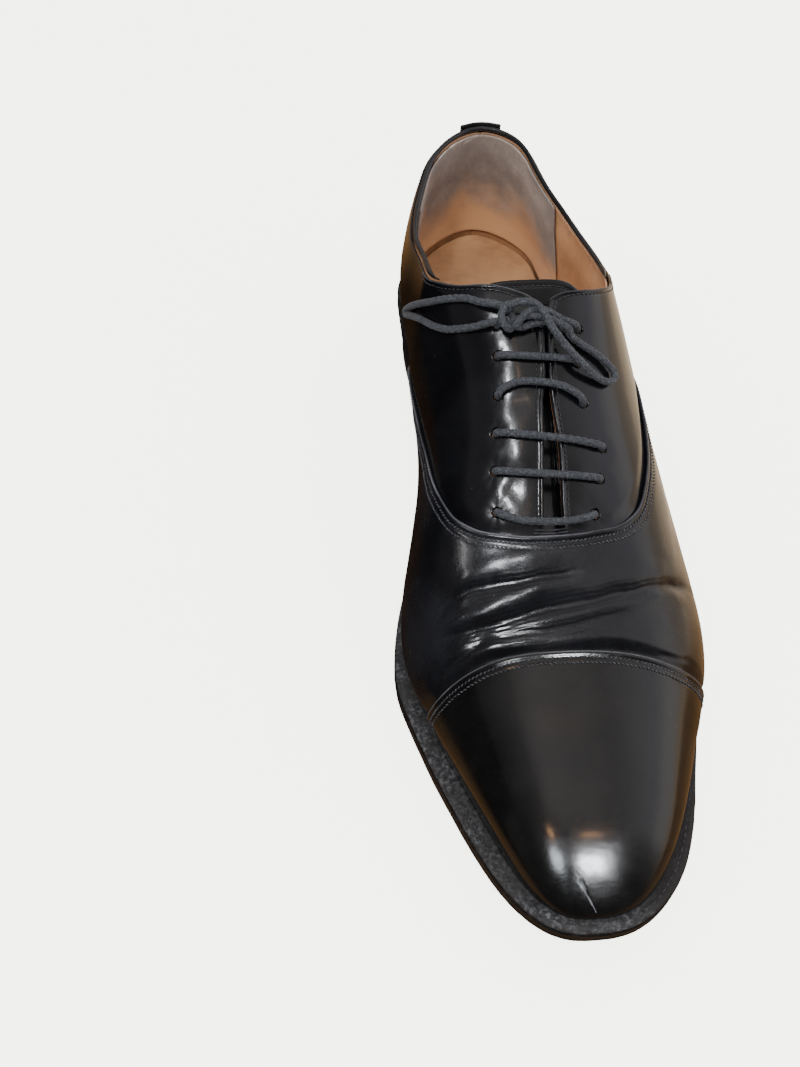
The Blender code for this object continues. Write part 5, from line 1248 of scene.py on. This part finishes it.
# ================================================================ bottom
SOLE_M = spline([(0, 2.4), (40, 2.4), (75, 1.6), (100, 1.2), (130, 1.6), (160, 3.0), (185, 4.4), (210, 5.2), (240, 5.8), (270, 5.6), (296, 3.9)])
SOLE_L = spline([(0, 2.4), (40, 2.4), (75, 1.8), (110, 1.6), (140, 2.0), (170, 2.5), (205, 2.6), (230, 3.4), (255, 4.6), (275, 5.2), (296, 3.9)])
turns = np.radians(np.linspace(16, 90, 30))
tip_rows = TOE_FROM + (UPPER_TIP - TOE_FROM) * np.power(1 - np.power(np.cos(turns), TOE_B), 1 / TOE_A)
tip_rows[-1] = UPPER_TIP
STATIONS = np.concatenate([[0.0, 0.1, 0.3, 0.6, 1.0, 1.6, 2.4, 3.4, 5.0, 7.0, 9.5, 12.0], np.linspace(15, tip_rows[0] - 3, 70), tip_rows])


def outline(side, stations, out):
    st = np.asarray(stations, float)
    e = 0.05
    low, high = np.clip(st - e, 0.0, UPPER_TIP), np.clip(st + e, 0.0, UPPER_TIP)
    p = surface(st, side * 1.0)[..., :2]
    d = surface(high, side * 1.0)[..., :2] - surface(low, side * 1.0)[..., :2]
    n = np.stack([d[:, 1], -d[:, 0]], -1) * side
    n /= np.maximum(np.linalg.norm(n, axis=1, keepdims=True), 1e-9)
    n[st <= 0.0] = (0.0, -1.0)
    n[st >= UPPER_TIP] = (0.0, 1.0)
    return p + n * np.asarray(out, float)[..., None]


def lift(p, height):
    return np.stack([p[..., 0] + AXIS_X, HALF_LENGTH - p[..., 1], SOLE_Z(p[..., 1]) + height], -1)


def ring_line(out_m, out_l, stations=None):
    """Whole outline as one closed line: medial from heel to toe, then lateral back."""
    st = STATIONS if stations is None else stations
    m = outline(-1, st, out_m(st))
    l = outline(1, st, out_l(st))
    return np.concatenate([m, l[::-1][1:-1]])


def ring_solid(name, lines, material, **kw):
    """Closed rings of points, one above another, joined into a wall; the ends are left open."""
    k = len(lines[0])
    verts = np.concatenate(lines)
    faces = []
    for i in range(len(lines) - 1):
        for j in range(k):
            j2 = (j + 1) % k
            faces.append([i * k + j, i * k + j2, (i + 1) * k + j2, (i + 1) * k + j])
    return verts, faces, k


def plate(name, out_m, out_l, low, high, material, edge_round=0.5, groove=0.0, rows_=16, dome=0.0, rough=0.0, **kw):
    """A sole-shaped slab with rounded edges that follows the sole line."""
    st = STATIONS
    profile = [(-edge_round, 0.0), (-edge_round * 0.3, edge_round * 0.3), (0.0, edge_round)]
    t = high - low
    mids = [(-groove * math.sin(math.pi * f), edge_round + (t - 2 * edge_round) * f) for f in np.linspace(0, 1, 6)[1:-1]]
    profile = profile + mids + [(0.0, t - edge_round), (-edge_round * 0.3, t - edge_round * 0.3), (-edge_round, t)]
    r = (1 - np.cos(np.linspace(0, math.pi, rows_))) / 2

    def face(inset_, h, crown):
        m = outline(-1, st, out_m(st) + inset_)
        l = outline(1, st, out_l(st) + inset_)
        p = m[:, None, :] * (1 - r[None, :, None]) + l[:, None, :] * r[None, :, None]
        g = lift(p, h)
        if crown:
            g[..., 2] += crown * (4 * r * (1 - r))[None, :] * ease(st / 10)[:, None] * ease((UPPER_TIP - st) / 10)[:, None]
        return g

    top = face(-edge_round, high, dome)
    bottom = face(-edge_round, low, 0.0)
    n, m_ = top.shape[:2]
    lines = []
    for dx, dz in profile:
        line = ring_line(lambda s_: out_m(s_) + dx, lambda s_: out_l(s_) + dx)
        g = lift(line, low + dz)
        if rough and 0 < dz < t:
            g = g + lumps(g, 2.2, rough, seed=2.0)[:, None] * np.array([0.7, 0.7, 0.3])
        lines.append(g)
    lines[0] = np.concatenate([bottom[:, 0], bottom[::-1, -1][1:-1]])
    lines[-1] = np.concatenate([top[:, 0], top[::-1, -1][1:-1]])
    k = len(lines[0])
    verts = list(np.concatenate(lines))
    faces = []
    for i in range(len(lines) - 1):
        for j in range(k):
            j2 = (j + 1) % k
            faces.append([i * k + j, i * k + j2, (i + 1) * k + j2, (i + 1) * k + j])
    def cap(grid, ring0, up):
        ids = np.zeros((n, m_), int)
        for i in range(n):
            for j in range(m_):
                if j == 0:
                    ids[i, j] = ring0 + i
                elif j == m_ - 1:
                    ids[i, j] = ring0 + (0 if i == 0 else (n - 1 if i == n - 1 else k - i))
                elif i in (0, n - 1):
                    ids[i, j] = ring0 + (0 if i == 0 else n - 1)
                else:
                    ids[i, j] = len(verts)
                    verts.append(grid[i, j])
        for i in range(n - 1):
            for j in range(m_ - 1):
                f = []
                for v in (ids[i, j], ids[i, j + 1], ids[i + 1, j + 1], ids[i + 1, j]):
                    if int(v) not in f:
                        f.append(int(v))
                if len(f) > 2:
                    faces.append(f[::-1] if up else f)
    cap(top, (len(lines) - 1) * k, False)
    cap(bottom, 0, True)
    obj = add(name, verts, faces, material, **kw)
    import bmesh as bm_
    b = bm_.new()
    b.from_mesh(obj.data)
    bm_.ops.recalc_face_normals(b, faces=b.faces)
    b.to_mesh(obj.data)
    b.free()
    return obj


outsole = plate("v_outsole", SOLE_M, SOLE_L, 0.0, 4.95, EDGE, 0.7, 0.25, rough=0.12, slot="sole_leather", replaces=("outsole",))
outsole.data.materials.append(BOTTOM)
for poly in outsole.data.polygons:
    if poly.normal.z < -0.6:
        poly.material_index = 1


def inset(d):
    return lambda t: np.full(np.shape(t), -d)


SOCK_IN = table([(0, -5.6), (245, -5.6), (270, -8.0), (285, -10.5), (296, -12.0)])
plate("v_sock_liner", SOCK_IN, SOCK_IN, 11.7, 12.6, SOCK, 0.35, rows_=24, slot="lining_leather", replaces=("sock_liner",))


# welt: open ring from the medial breast round the toe to the lateral breast
def flange(name, stations, inner_m, inner_l, out_m, out_l, low, thick, material, fractions, rough, **kw):
    st = stations
    inner = np.concatenate([outline(-1, st, inner_m(st)), outline(1, st[::-1][1:], inner_l(st[::-1][1:]))])
    outer = np.concatenate([outline(-1, st, out_m(st)), outline(1, st[::-1][1:], out_l(st[::-1][1:]))])
    grid = np.stack([inner * (1 - f) + outer * f for f in fractions], 1)
    top = lift(grid, low + thick)
    wob = lumps(top, 1.7, rough, seed=4.0) + lumps(top, 6.0, rough * 1.2, seed=5.0)
    f_ = np.asarray(fractions)[None, :]
    top[..., 2] += wob * ease(f_ / 0.3) - 0.25 * ease((f_ - 0.9) / 0.1)
    bottom = lift(grid, low)
    return shell(name, top, bottom, material, (0, 0, 1), **kw)


toe_st = STATIONS[STATIONS > 77]
fr = np.concatenate([np.linspace(0, 0.4, 5)[:-1], np.linspace(0.4, 1.0, 16)])
flange("v_welt", toe_st, lambda t: -3.6 + 0 * t, lambda t: -3.6 + 0 * t, lambda t: SOLE_M(t) - 1.3, lambda t: SOLE_L(t) - 1.3, WELT_LOW, WELT_THICK, WELT_MAT, fr, 0.16, slot="sole_leather", replaces=("welt",))

# heel rand: the same strip round the back
st_r = np.concatenate([STATIONS[(STATIONS < 77)], [83.0]])
inner = np.concatenate([outline(-1, st_r[::-1], np.full(st_r.shape, -3.4)), outline(1, st_r[1:], np.full(st_r[1:].shape, -3.4))])
outer = np.concatenate([outline(-1, st_r[::-1], SOLE_M(st_r[::-1]) - 1.9), outline(1, st_r[1:], SOLE_L(st_r[1:]) - 1.9)])
grid = np.stack([inner * (1 - f) + outer * f for f in fr], 1)
top = lift(grid, WELT_LOW + WELT_THICK)
top[..., 2] += lumps(top, 1.7, 0.1, seed=4.0)
shell("v_heel_rand", top, lift(grid, WELT_LOW), WELT_MAT, (0, 0, 1), slot="sole_leather", replaces=("heel_rand",))

# channel stitches under the forepart, and welt stitches on top
st_c = STATIONS[(STATIONS > 92) & (STATIONS < 292)]
for name_, off_m, off_l, h, up, ln, rad in (("v_stitch_channel", -6.5, -6.5, 0.12, -1.0, 3.2, 0.32), ("v_stitch_welt", 1.2, 1.0, WELT_LOW + WELT_THICK + 0.02, 1.0, 2.6, 0.24)):
    if up > 0:
        om, ol = (lambda t: SOLE_M(t) * 0.5 - 0.2), (lambda t: SOLE_L(t) * 0.5 - 0.2)
    else:
        om, ol = (lambda t: -4.5 + 0 * t), (lambda t: -4.5 + 0 * t)
    st_e = np.concatenate([st_c, [294.5]])
    line = np.concatenate([outline(-1, st_e, om(st_e)), outline(1, st_e[::-1], ol(st_e[::-1]))])
    g = resample(lift(line, h), 0.8)
    nn = np.repeat(np.array([[0, 0, up]]), len(g), 0)
    stitch_run(name_, g, nn, THREAD, ln, rad, 0.8, 0.0, 0.1, slot="sole_leather")


# ---------------------------------------------------------------- heel
five = (1 - np.cos(np.linspace(0, math.pi, 22))) / 2
heel_st = np.concatenate([STATIONS[STATIONS < 75], [HEEL_BREAST]])


def heel_section(f, grow=0.0):
    shrink = 0.4 + 2.2 * (1 - f) ** 1.2 - grow
    m = outline(-1, heel_st, SOLE_M(heel_st) - shrink)
    l = outline(1, heel_st, SOLE_L(heel_st) - shrink)
    p = m[:, None, :] * (1 - five[None, :, None]) + l[:, None, :] * five[None, :, None]
    w = five
    p[-1, :, 1] -= 3.0 * 4 * w * (1 - w) + 1.5 * (1 - f)
    return p


def heel_height(p, f):
    return TOP_PIECE + 0.3 + f * (SOLE_Z(p[..., 1]) - 0.3 - TOP_PIECE - 0.3)


def heel_block(name, levels, material, **kw):
    """levels: a list of (section f, height function, grow) from the bottom up."""
    rings_, grids = [], []
    for f, height, grow in levels:
        p = heel_section(f, grow)
        z = height(p)
        g = np.stack([p[..., 0] + AXIS_X, HALF_LENGTH - p[..., 1], z], -1)
        grids.append(g)
        rings_.append(np.concatenate([g[:, 0], g[-1, 1:-1], g[::-1, -1][:-1]]))
    k = len(rings_[0])
    verts = list(np.concatenate(rings_))
    faces = []
    for i in range(len(rings_) - 1):
        for j in range(k):
            j2 = (j + 1) % k
            faces.append([i * k + j, i * k + j2, (i + 1) * k + j2, (i + 1) * k + j])
    n, m_ = grids[0].shape[:2]
    for grid, ring0 in ((grids[0], 0), (grids[-1], (len(rings_) - 1) * k)):
        ids = np.zeros((n, m_), int)
        for i in range(n):
            for j in range(m_):
                if i == 0:
                    ids[i, j] = ring0
                elif j == 0:
                    ids[i, j] = ring0 + i
                elif i == n - 1 and j < m_ - 1:
                    ids[i, j] = ring0 + n - 1 + j
                elif j == m_ - 1:
                    ids[i, j] = ring0 + (n - 1 + m_ - 1) + (n - 1 - i)
                else:
                    ids[i, j] = len(verts)
                    verts.append(grid[i, j])
        for i in range(n - 1):
            for j in range(m_ - 1):
                f = []
                for v in (ids[i, j], ids[i, j + 1], ids[i + 1, j + 1], ids[i + 1, j]):
                    if int(v) not in f:
                        f.append(int(v))
                if len(f) > 2:
                    faces.append(f)
    obj = add(name, verts, faces, material, **kw)
    import bmesh as bm_
    b = bm_.new()
    b.from_mesh(obj.data)
    bm_.ops.recalc_face_normals(b, faces=b.faces)
    b.to_mesh(obj.data)
    b.free()
    return obj


def flat_at(z):
    return lambda p: np.full(p.shape[:2], z)


heel_block("v_heel_top_piece", [(0, flat_at(0.0), -0.5), (0, flat_at(0.35), -0.12), (0, flat_at(0.8), 0.0), (0, flat_at(TOP_PIECE - 0.5), 0.0), (0, flat_at(TOP_PIECE - 0.12), -0.12), (0, flat_at(TOP_PIECE), -0.4)], RUBBER, slot="rubber", replaces=("heel_top_piece",))
LIFTS = 3
for k_ in range(LIFTS):
    f0, f1 = k_ / LIFTS, (k_ + 1) / LIFTS - (0.018 if k_ < LIFTS - 1 else 0.0)
    e = 0.03

    def hh(f):
        return lambda p: heel_height(p, f)

    heel_block("v_heel_lift_%d" % (k_ + 1), [(f0, hh(f0), -0.35), (f0 + e * 0.4, hh(f0 + e * 0.4), -0.08), (f0 + e, hh(f0 + e), 0.0), ((f0 + f1) / 2, hh((f0 + f1) / 2), 0.05), (f1 - e, hh(f1 - e), 0.0), (f1 - e * 0.4, hh(f1 - e * 0.4), -0.08), (f1, hh(f1), -0.35)], EDGE, slot="sole_leather", replaces=("heel_lift_%d" % (k_ + 1),))

# brass pins in the top piece, flush with the rubber
PIN = make_plain("pin_brass", [(0.3, srgb(120, 96, 52)), (0.6, srgb(150, 122, 70)), (0.8, srgb(176, 150, 98))], 900, 0.4, 0.00004)
PIN.node_tree.nodes["Principled BSDF"].inputs["Metallic"].default_value = 1.0
pins = []
for t in np.linspace(0.08, 0.92, 9):
    st_ = 8 + 58 * abs(2 * t - 1)
    side = -1 if t < 0.5 else 1
    o = outline(side, np.array([st_]), np.array([-7.5]))[0]
    pins.append((o[0] + AXIS_X, HALF_LENGTH - o[1]))
verts, faces = [], []
for x, y in pins:
    b0 = len(verts)
    for rr, z in ((0.75, 0.6), (0.75, 0.06), (0.5, 0.01)):
        for j in range(12):
            w = 2 * math.pi * j / 12
            verts.append((x + rr * math.cos(w), y + rr * math.sin(w), z))
    for i in range(2):
        for j in range(12):
            j2 = (j + 1) % 12
            faces.append([b0 + i * 12 + j2, b0 + i * 12 + j, b0 + (i + 1) * 12 + j, b0 + (i + 1) * 12 + j2])
    faces.append([b0 + 24 + j for j in range(12)][::-1])
    faces.append([b0 + j for j in range(12)])
add("v_heel_pins", verts, faces, PIN, slot="rubber", smooth=False)

# ================================================================ CAD nodes that stay, with their own finishes
STAY = {
    "vamp_lining": CLOTH, "facing_stay_medial": CLOTH, "facing_stay_lateral": CLOTH, "toe_puff": FELT, "heel_counter": FELT,
    "insole": BOARD, "cork_filler": CORK, "shank": WOOD,
}
for name_, mat_ in STAY.items():
    o = bpy.data.objects.get(name_)
    if o is None:
        hits = [x for x in bpy.data.objects if x.name.split(".")[0] == name_]
        o = hits[0] if hits else None
    if o is not None:
        if o.material_slots:
            for sl_ in o.material_slots:
                sl_.material = mat_
        else:
            o.data.materials.append(mat_)
    else:
        print("no node object", name_)

# ================================================================ stage: pale floor, soft light
def stage_plane(name, size, location, rotation, material):
    me = bpy.data.meshes.new(name)
    h = size[0] / 2, size[1] / 2
    me.from_pydata([(-h[0], -h[1], 0), (h[0], -h[1], 0), (h[0], h[1], 0), (-h[0], h[1], 0)], [], [[0, 1, 2, 3]])
    me.materials.append(material)
    o = bpy.data.objects.new(name, me)
    bpy.context.scene.collection.objects.link(o)
    o.location = location
    o.rotation_euler = rotation
    return o


k = Nodes("floor_pale")
floor_mat = k.done(k.mix(k.span(k.noise(2.0), 0.3, 0.7), srgb(242, 243, 237), srgb(246, 247, 242)), 0.9)
floor = stage_plane("floor", (12, 12), (0, 0, -0.0002), (0, 0, 0), floor_mat)
floor.visible_glossy = False
ft = floor_mat.node_tree
fo = next(n for n in ft.nodes if n.type == "OUTPUT_MATERIAL")
lit = fo.inputs["Surface"].links[0].from_socket
lift_e = ft.nodes.new("ShaderNodeEmission")
lift_e.inputs["Color"].default_value = (0.95, 0.955, 0.885, 1)
seen = ft.nodes.new("ShaderNodeLightPath")
gain = ft.nodes.new("ShaderNodeMath")
gain.operation = "MULTIPLY"
gain.inputs[1].default_value = 4.0
ft.links.new(seen.outputs["Is Camera Ray"], gain.inputs[0])
ft.links.new(gain.outputs[0], lift_e.inputs["Strength"])
both_f = ft.nodes.new("ShaderNodeAddShader")
ft.links.new(lit, both_f.inputs[0])
ft.links.new(lift_e.outputs[0], both_f.inputs[1])
ft.links.new(both_f.outputs[0], fo.inputs["Surface"])


def glow(name, colour, strength):
    m = bpy.data.materials.new(name)
    m.use_nodes = True
    t = m.node_tree
    t.nodes.clear()
    e = t.nodes.new("ShaderNodeEmission")
    e.inputs["Color"].default_value = (*colour, 1)
    e.inputs["Strength"].default_value = strength
    o = t.nodes.new("ShaderNodeOutputMaterial")
    t.links.new(e.outputs[0], o.inputs[0])
    return m


def card(name, size, location, rotation, colour, strength):
    """A reflector that only the gloss of the leather sees."""
    o = stage_plane(name, size, location, rotation, glow(name + "_m", colour, strength))
    o.visible_camera = False
    o.visible_diffuse = False
    o.visible_shadow = False
    o.visible_transmission = False
    o.visible_volume_scatter = False
    return o


boards = card("boards", (3.0, 3.0), (0, 0, -0.0001), (0, 0, 0), srgb(172, 126, 72), 0.85)
bt = boards.data.materials[0].node_tree
em = bt.nodes["Emission"]
bc = bt.nodes.new("ShaderNodeTexCoord")
bs = bt.nodes.new("ShaderNodeSeparateXYZ")
bt.links.new(bc.outputs["Object"], bs.inputs[0])


def stage_span(value, a, b, c, d):
    n = bt.nodes.new("ShaderNodeMapRange")
    n.interpolation_type = "SMOOTHSTEP"
    bt.links.new(value, n.inputs["Value"])
    for key, v in (("From Min", a), ("From Max", b), ("To Min", c), ("To Max", d)):
        n.inputs[key].default_value = v
    return n.outputs["Result"]


def stage_math(op, a, b):
    n = bt.nodes.new("ShaderNodeMath")
    n.operation = op
    for k_, v in enumerate((a, b)):
        if isinstance(v, float):
            n.inputs[k_].default_value = v
        else:
            bt.links.new(v, n.inputs[k_])
    return n.outputs[0]


shade = stage_math("MULTIPLY", stage_math("MULTIPLY", stage_span(bs.outputs["Y"], -0.05, -0.10, 0.0, 1.0), stage_span(bs.outputs["Y"], -0.22, -0.16, 0.0, 1.0)), stage_span(bs.outputs["X"], -0.12, -0.07, 0.0, 0.7))
lateral = stage_math("MULTIPLY", stage_math("MULTIPLY", stage_span(bs.outputs["X"], 0.035, 0.075, 0.0, 1.0), stage_span(bs.outputs["Y"], -0.10, 0.03, 0.22, 1.0)), 2.2)
behind = stage_math("MULTIPLY", stage_span(bs.outputs["Y"], 0.15, 0.24, 0.0, 1.0), 0.9)
total = stage_math("ADD", stage_math("MAXIMUM", stage_math("MAXIMUM", shade, behind), lateral), 0.06)
bt.links.new(total, em.inputs["Strength"])
tint = bt.nodes.new("ShaderNodeMix")
tint.data_type = "RGBA"
bt.links.new(stage_math("MULTIPLY", stage_span(bs.outputs["X"], 0.0, 0.05, 0.0, 1.0), stage_span(bs.outputs["Y"], -0.08, 0.04, 0.0, 1.0)), tint.inputs[0])
tint.inputs[6].default_value = (*srgb(184, 138, 88), 1)
tint.inputs[7].default_value = (*srgb(206, 184, 156), 1)
bt.links.new(tint.outputs[2], em.inputs["Color"])
card("door", (1.2, 0.20), (0.55, 0.57, 0.10), (math.radians(90), 0, math.radians(-90)), srgb(206, 188, 166), 1.5)
card("far_side", (0.30, 0.10), (-0.112, 0.02, 0.055), (math.radians(90), 0, math.radians(90)), srgb(10, 10, 12), 1.0)

world = bpy.data.worlds.new("studio")
bpy.context.scene.world = world
world.use_nodes = True
t = world.node_tree
t.nodes.clear()
out = t.nodes.new("ShaderNodeOutputWorld")
both = t.nodes.new("ShaderNodeMixShader")
soft_b = t.nodes.new("ShaderNodeBackground")
soft_b.inputs["Color"].default_value = (0.93, 0.95, 1.0, 1)
soft_b.inputs["Strength"].default_value = 1.55
room = t.nodes.new("ShaderNodeBackground")

geo = t.nodes.new("ShaderNodeTexCoord")
sep = t.nodes.new("ShaderNodeSeparateXYZ")
t.links.new(geo.outputs["Generated"], sep.inputs[0])
ramp = t.nodes.new("ShaderNodeValToRGB")
rr_ = ramp.color_ramp
rr_.elements[0].position, rr_.elements[0].color = 0.0, (0.42, 0.28, 0.15, 1)
rr_.elements[1].position, rr_.elements[1].color = 1.0, (0.92, 0.88, 0.86, 1)
for pos, col in ((0.08, (0.34, 0.28, 0.22)), (0.2, (0.36, 0.34, 0.33)), (0.4, (0.41, 0.39, 0.38)), (0.62, (0.27, 0.27, 0.30)), (0.94, (0.36, 0.345, 0.34))):
    e_ = rr_.elements.new(pos)
    e_.color = (*col, 1)
t.links.new(sep.outputs["Z"], ramp.inputs["Fac"])
t.links.new(ramp.outputs["Color"], room.inputs["Color"])


def sky_node(kind, value, other, *rest):
    if kind == "span":
        n = t.nodes.new("ShaderNodeMapRange")
        n.interpolation_type = "SMOOTHSTEP"
        for key, v in zip(("From Min", "From Max", "To Min", "To Max"), (other,) + rest):
            n.inputs[key].default_value = v
        t.links.new(value, n.inputs["Value"])
        return n.outputs["Result"]
    n = t.nodes.new("ShaderNodeMath")
    n.operation = kind
    for k_, v in enumerate((value, other)):
        if isinstance(v, float):
            n.inputs[k_].default_value = v
        else:
            t.links.new(v, n.inputs[k_])
    return n.outputs[0]


# brighter towards the lateral side, black in front below the windows, dim on the medial side
bright = sky_node("span", sep.outputs["X"], 0.15, 0.85, 1.0, 3.1)
ahead = sky_node("MULTIPLY", sky_node("span", sep.outputs["Y"], -0.25, -0.6, 0.0, 1.0), sky_node("span", sep.outputs["Z"], 0.84, 0.72, 0.0, 0.95))
clear = sky_node("SUBTRACT", 1.0, ahead)
dim = sky_node("span", sep.outputs["X"], -0.75, -0.3, 0.35, 1.0)
t.links.new(sky_node("MULTIPLY", sky_node("MULTIPLY", bright, clear), dim), room.inputs["Strength"])
lp = t.nodes.new("ShaderNodeLightPath")
t.links.new(lp.outputs["Is Glossy Ray"], both.inputs[0])
t.links.new(soft_b.outputs[0], both.inputs[1])
t.links.new(room.outputs[0], both.inputs[2])
t.links.new(both.outputs[0], out.inputs[0])


def lamp(name, at_, azimuth, elevation, distance, size, watts, colour=(1, 1, 1), size_y=None):
    """An area light seen from the point at_ in the given direction; azimuth 0 is the toe's side, + the lateral side."""
    a, e = math.radians(azimuth), math.radians(elevation)
    d = Vector((math.sin(a) * math.cos(e), -math.cos(a) * math.cos(e), math.sin(e)))
    l = bpy.data.lights.new(name, "AREA")
    l.shape = "ELLIPSE"
    l.size, l.size_y = size, size_y or size
    l.energy = watts
    l.color = colour
    o = bpy.data.objects.new(name, l)
    bpy.context.scene.collection.objects.link(o)
    o.location = Vector(at_) + d * distance
    o.rotation_euler = (-d).to_track_quat("-Z", "Y").to_euler()
    return o


TOE_AT = (-0.003, -0.132, 0.033)
FACE_AT = (-0.01, -0.025, 0.07)
toe_lit = bpy.data.collections.new("toe_lit")
vamp_lit = bpy.data.collections.new("vamp_lit")
rest_lit = bpy.data.collections.new("rest_lit")
for o in PIECES.objects:
    if o.name.startswith(("v_toe", "v_stitch_cap", "v_worn_edge_cap", "v_welt", "v_scuff")):
        toe_lit.objects.link(o)
    elif o.name.startswith(("v_vamp", "v_stitch_vamp", "v_worn_edge_vamp")):
        vamp_lit.objects.link(o)
    else:
        rest_lit.objects.link(o)


def only(light, group):
    light.light_linking.receiver_collection = group
    return light


only(lamp("window_left", TOE_AT, -19, 55, 1.3, 0.30, 3.6, (0.88, 0.94, 1.0), 0.22), toe_lit)
only(lamp("window_right", TOE_AT, 19, 53, 1.3, 0.11, 6.4, (0.93, 0.96, 1.0), 0.16), toe_lit)
only(lamp("pendant_left", TOE_AT, -33, 66, 1.3, 0.16, 0.45, (1.0, 0.55, 0.25), 0.08), toe_lit)
only(lamp("pendant_right", TOE_AT, 28, 65, 1.3, 0.06, 0.22, (1.0, 0.55, 0.25), 0.08), toe_lit)
only(lamp("facing", FACE_AT, -56, 68, 1.2, 0.12, 3.2, (0.95, 0.97, 1.0), 0.11), rest_lit)
only(lamp("facing_warm", FACE_AT, -22, 78, 1.2, 0.05, 0.06, (1.0, 0.62, 0.36), 0.05), rest_lit)
VAMP_AT = (-0.02, -0.055, 0.058)
only(lamp("vamp_left", VAMP_AT, -60, 65, 1.2, 0.34, 9.0, (0.93, 0.96, 1.0), 0.22), vamp_lit)
only(lamp("vamp_mid", VAMP_AT, -20, 72, 1.2, 0.15, 2.6, (0.93, 0.96, 1.0), 0.17), vamp_lit)
only(lamp("vamp_side", VAMP_AT, -96, 30, 1.2, 0.45, 3.4, (0.95, 0.94, 0.94), 0.3), vamp_lit)
key = lamp("key", (0, 0, 0.05), -30, 62, 1.9, 1.6, 16.0, (1, 0.98, 0.95))
key.visible_glossy = False
fill = lamp("fill", (0, 0, 0.05), 120, 50, 2.0, 1.8, 8.0, (0.95, 0.97, 1))
fill.visible_glossy = False
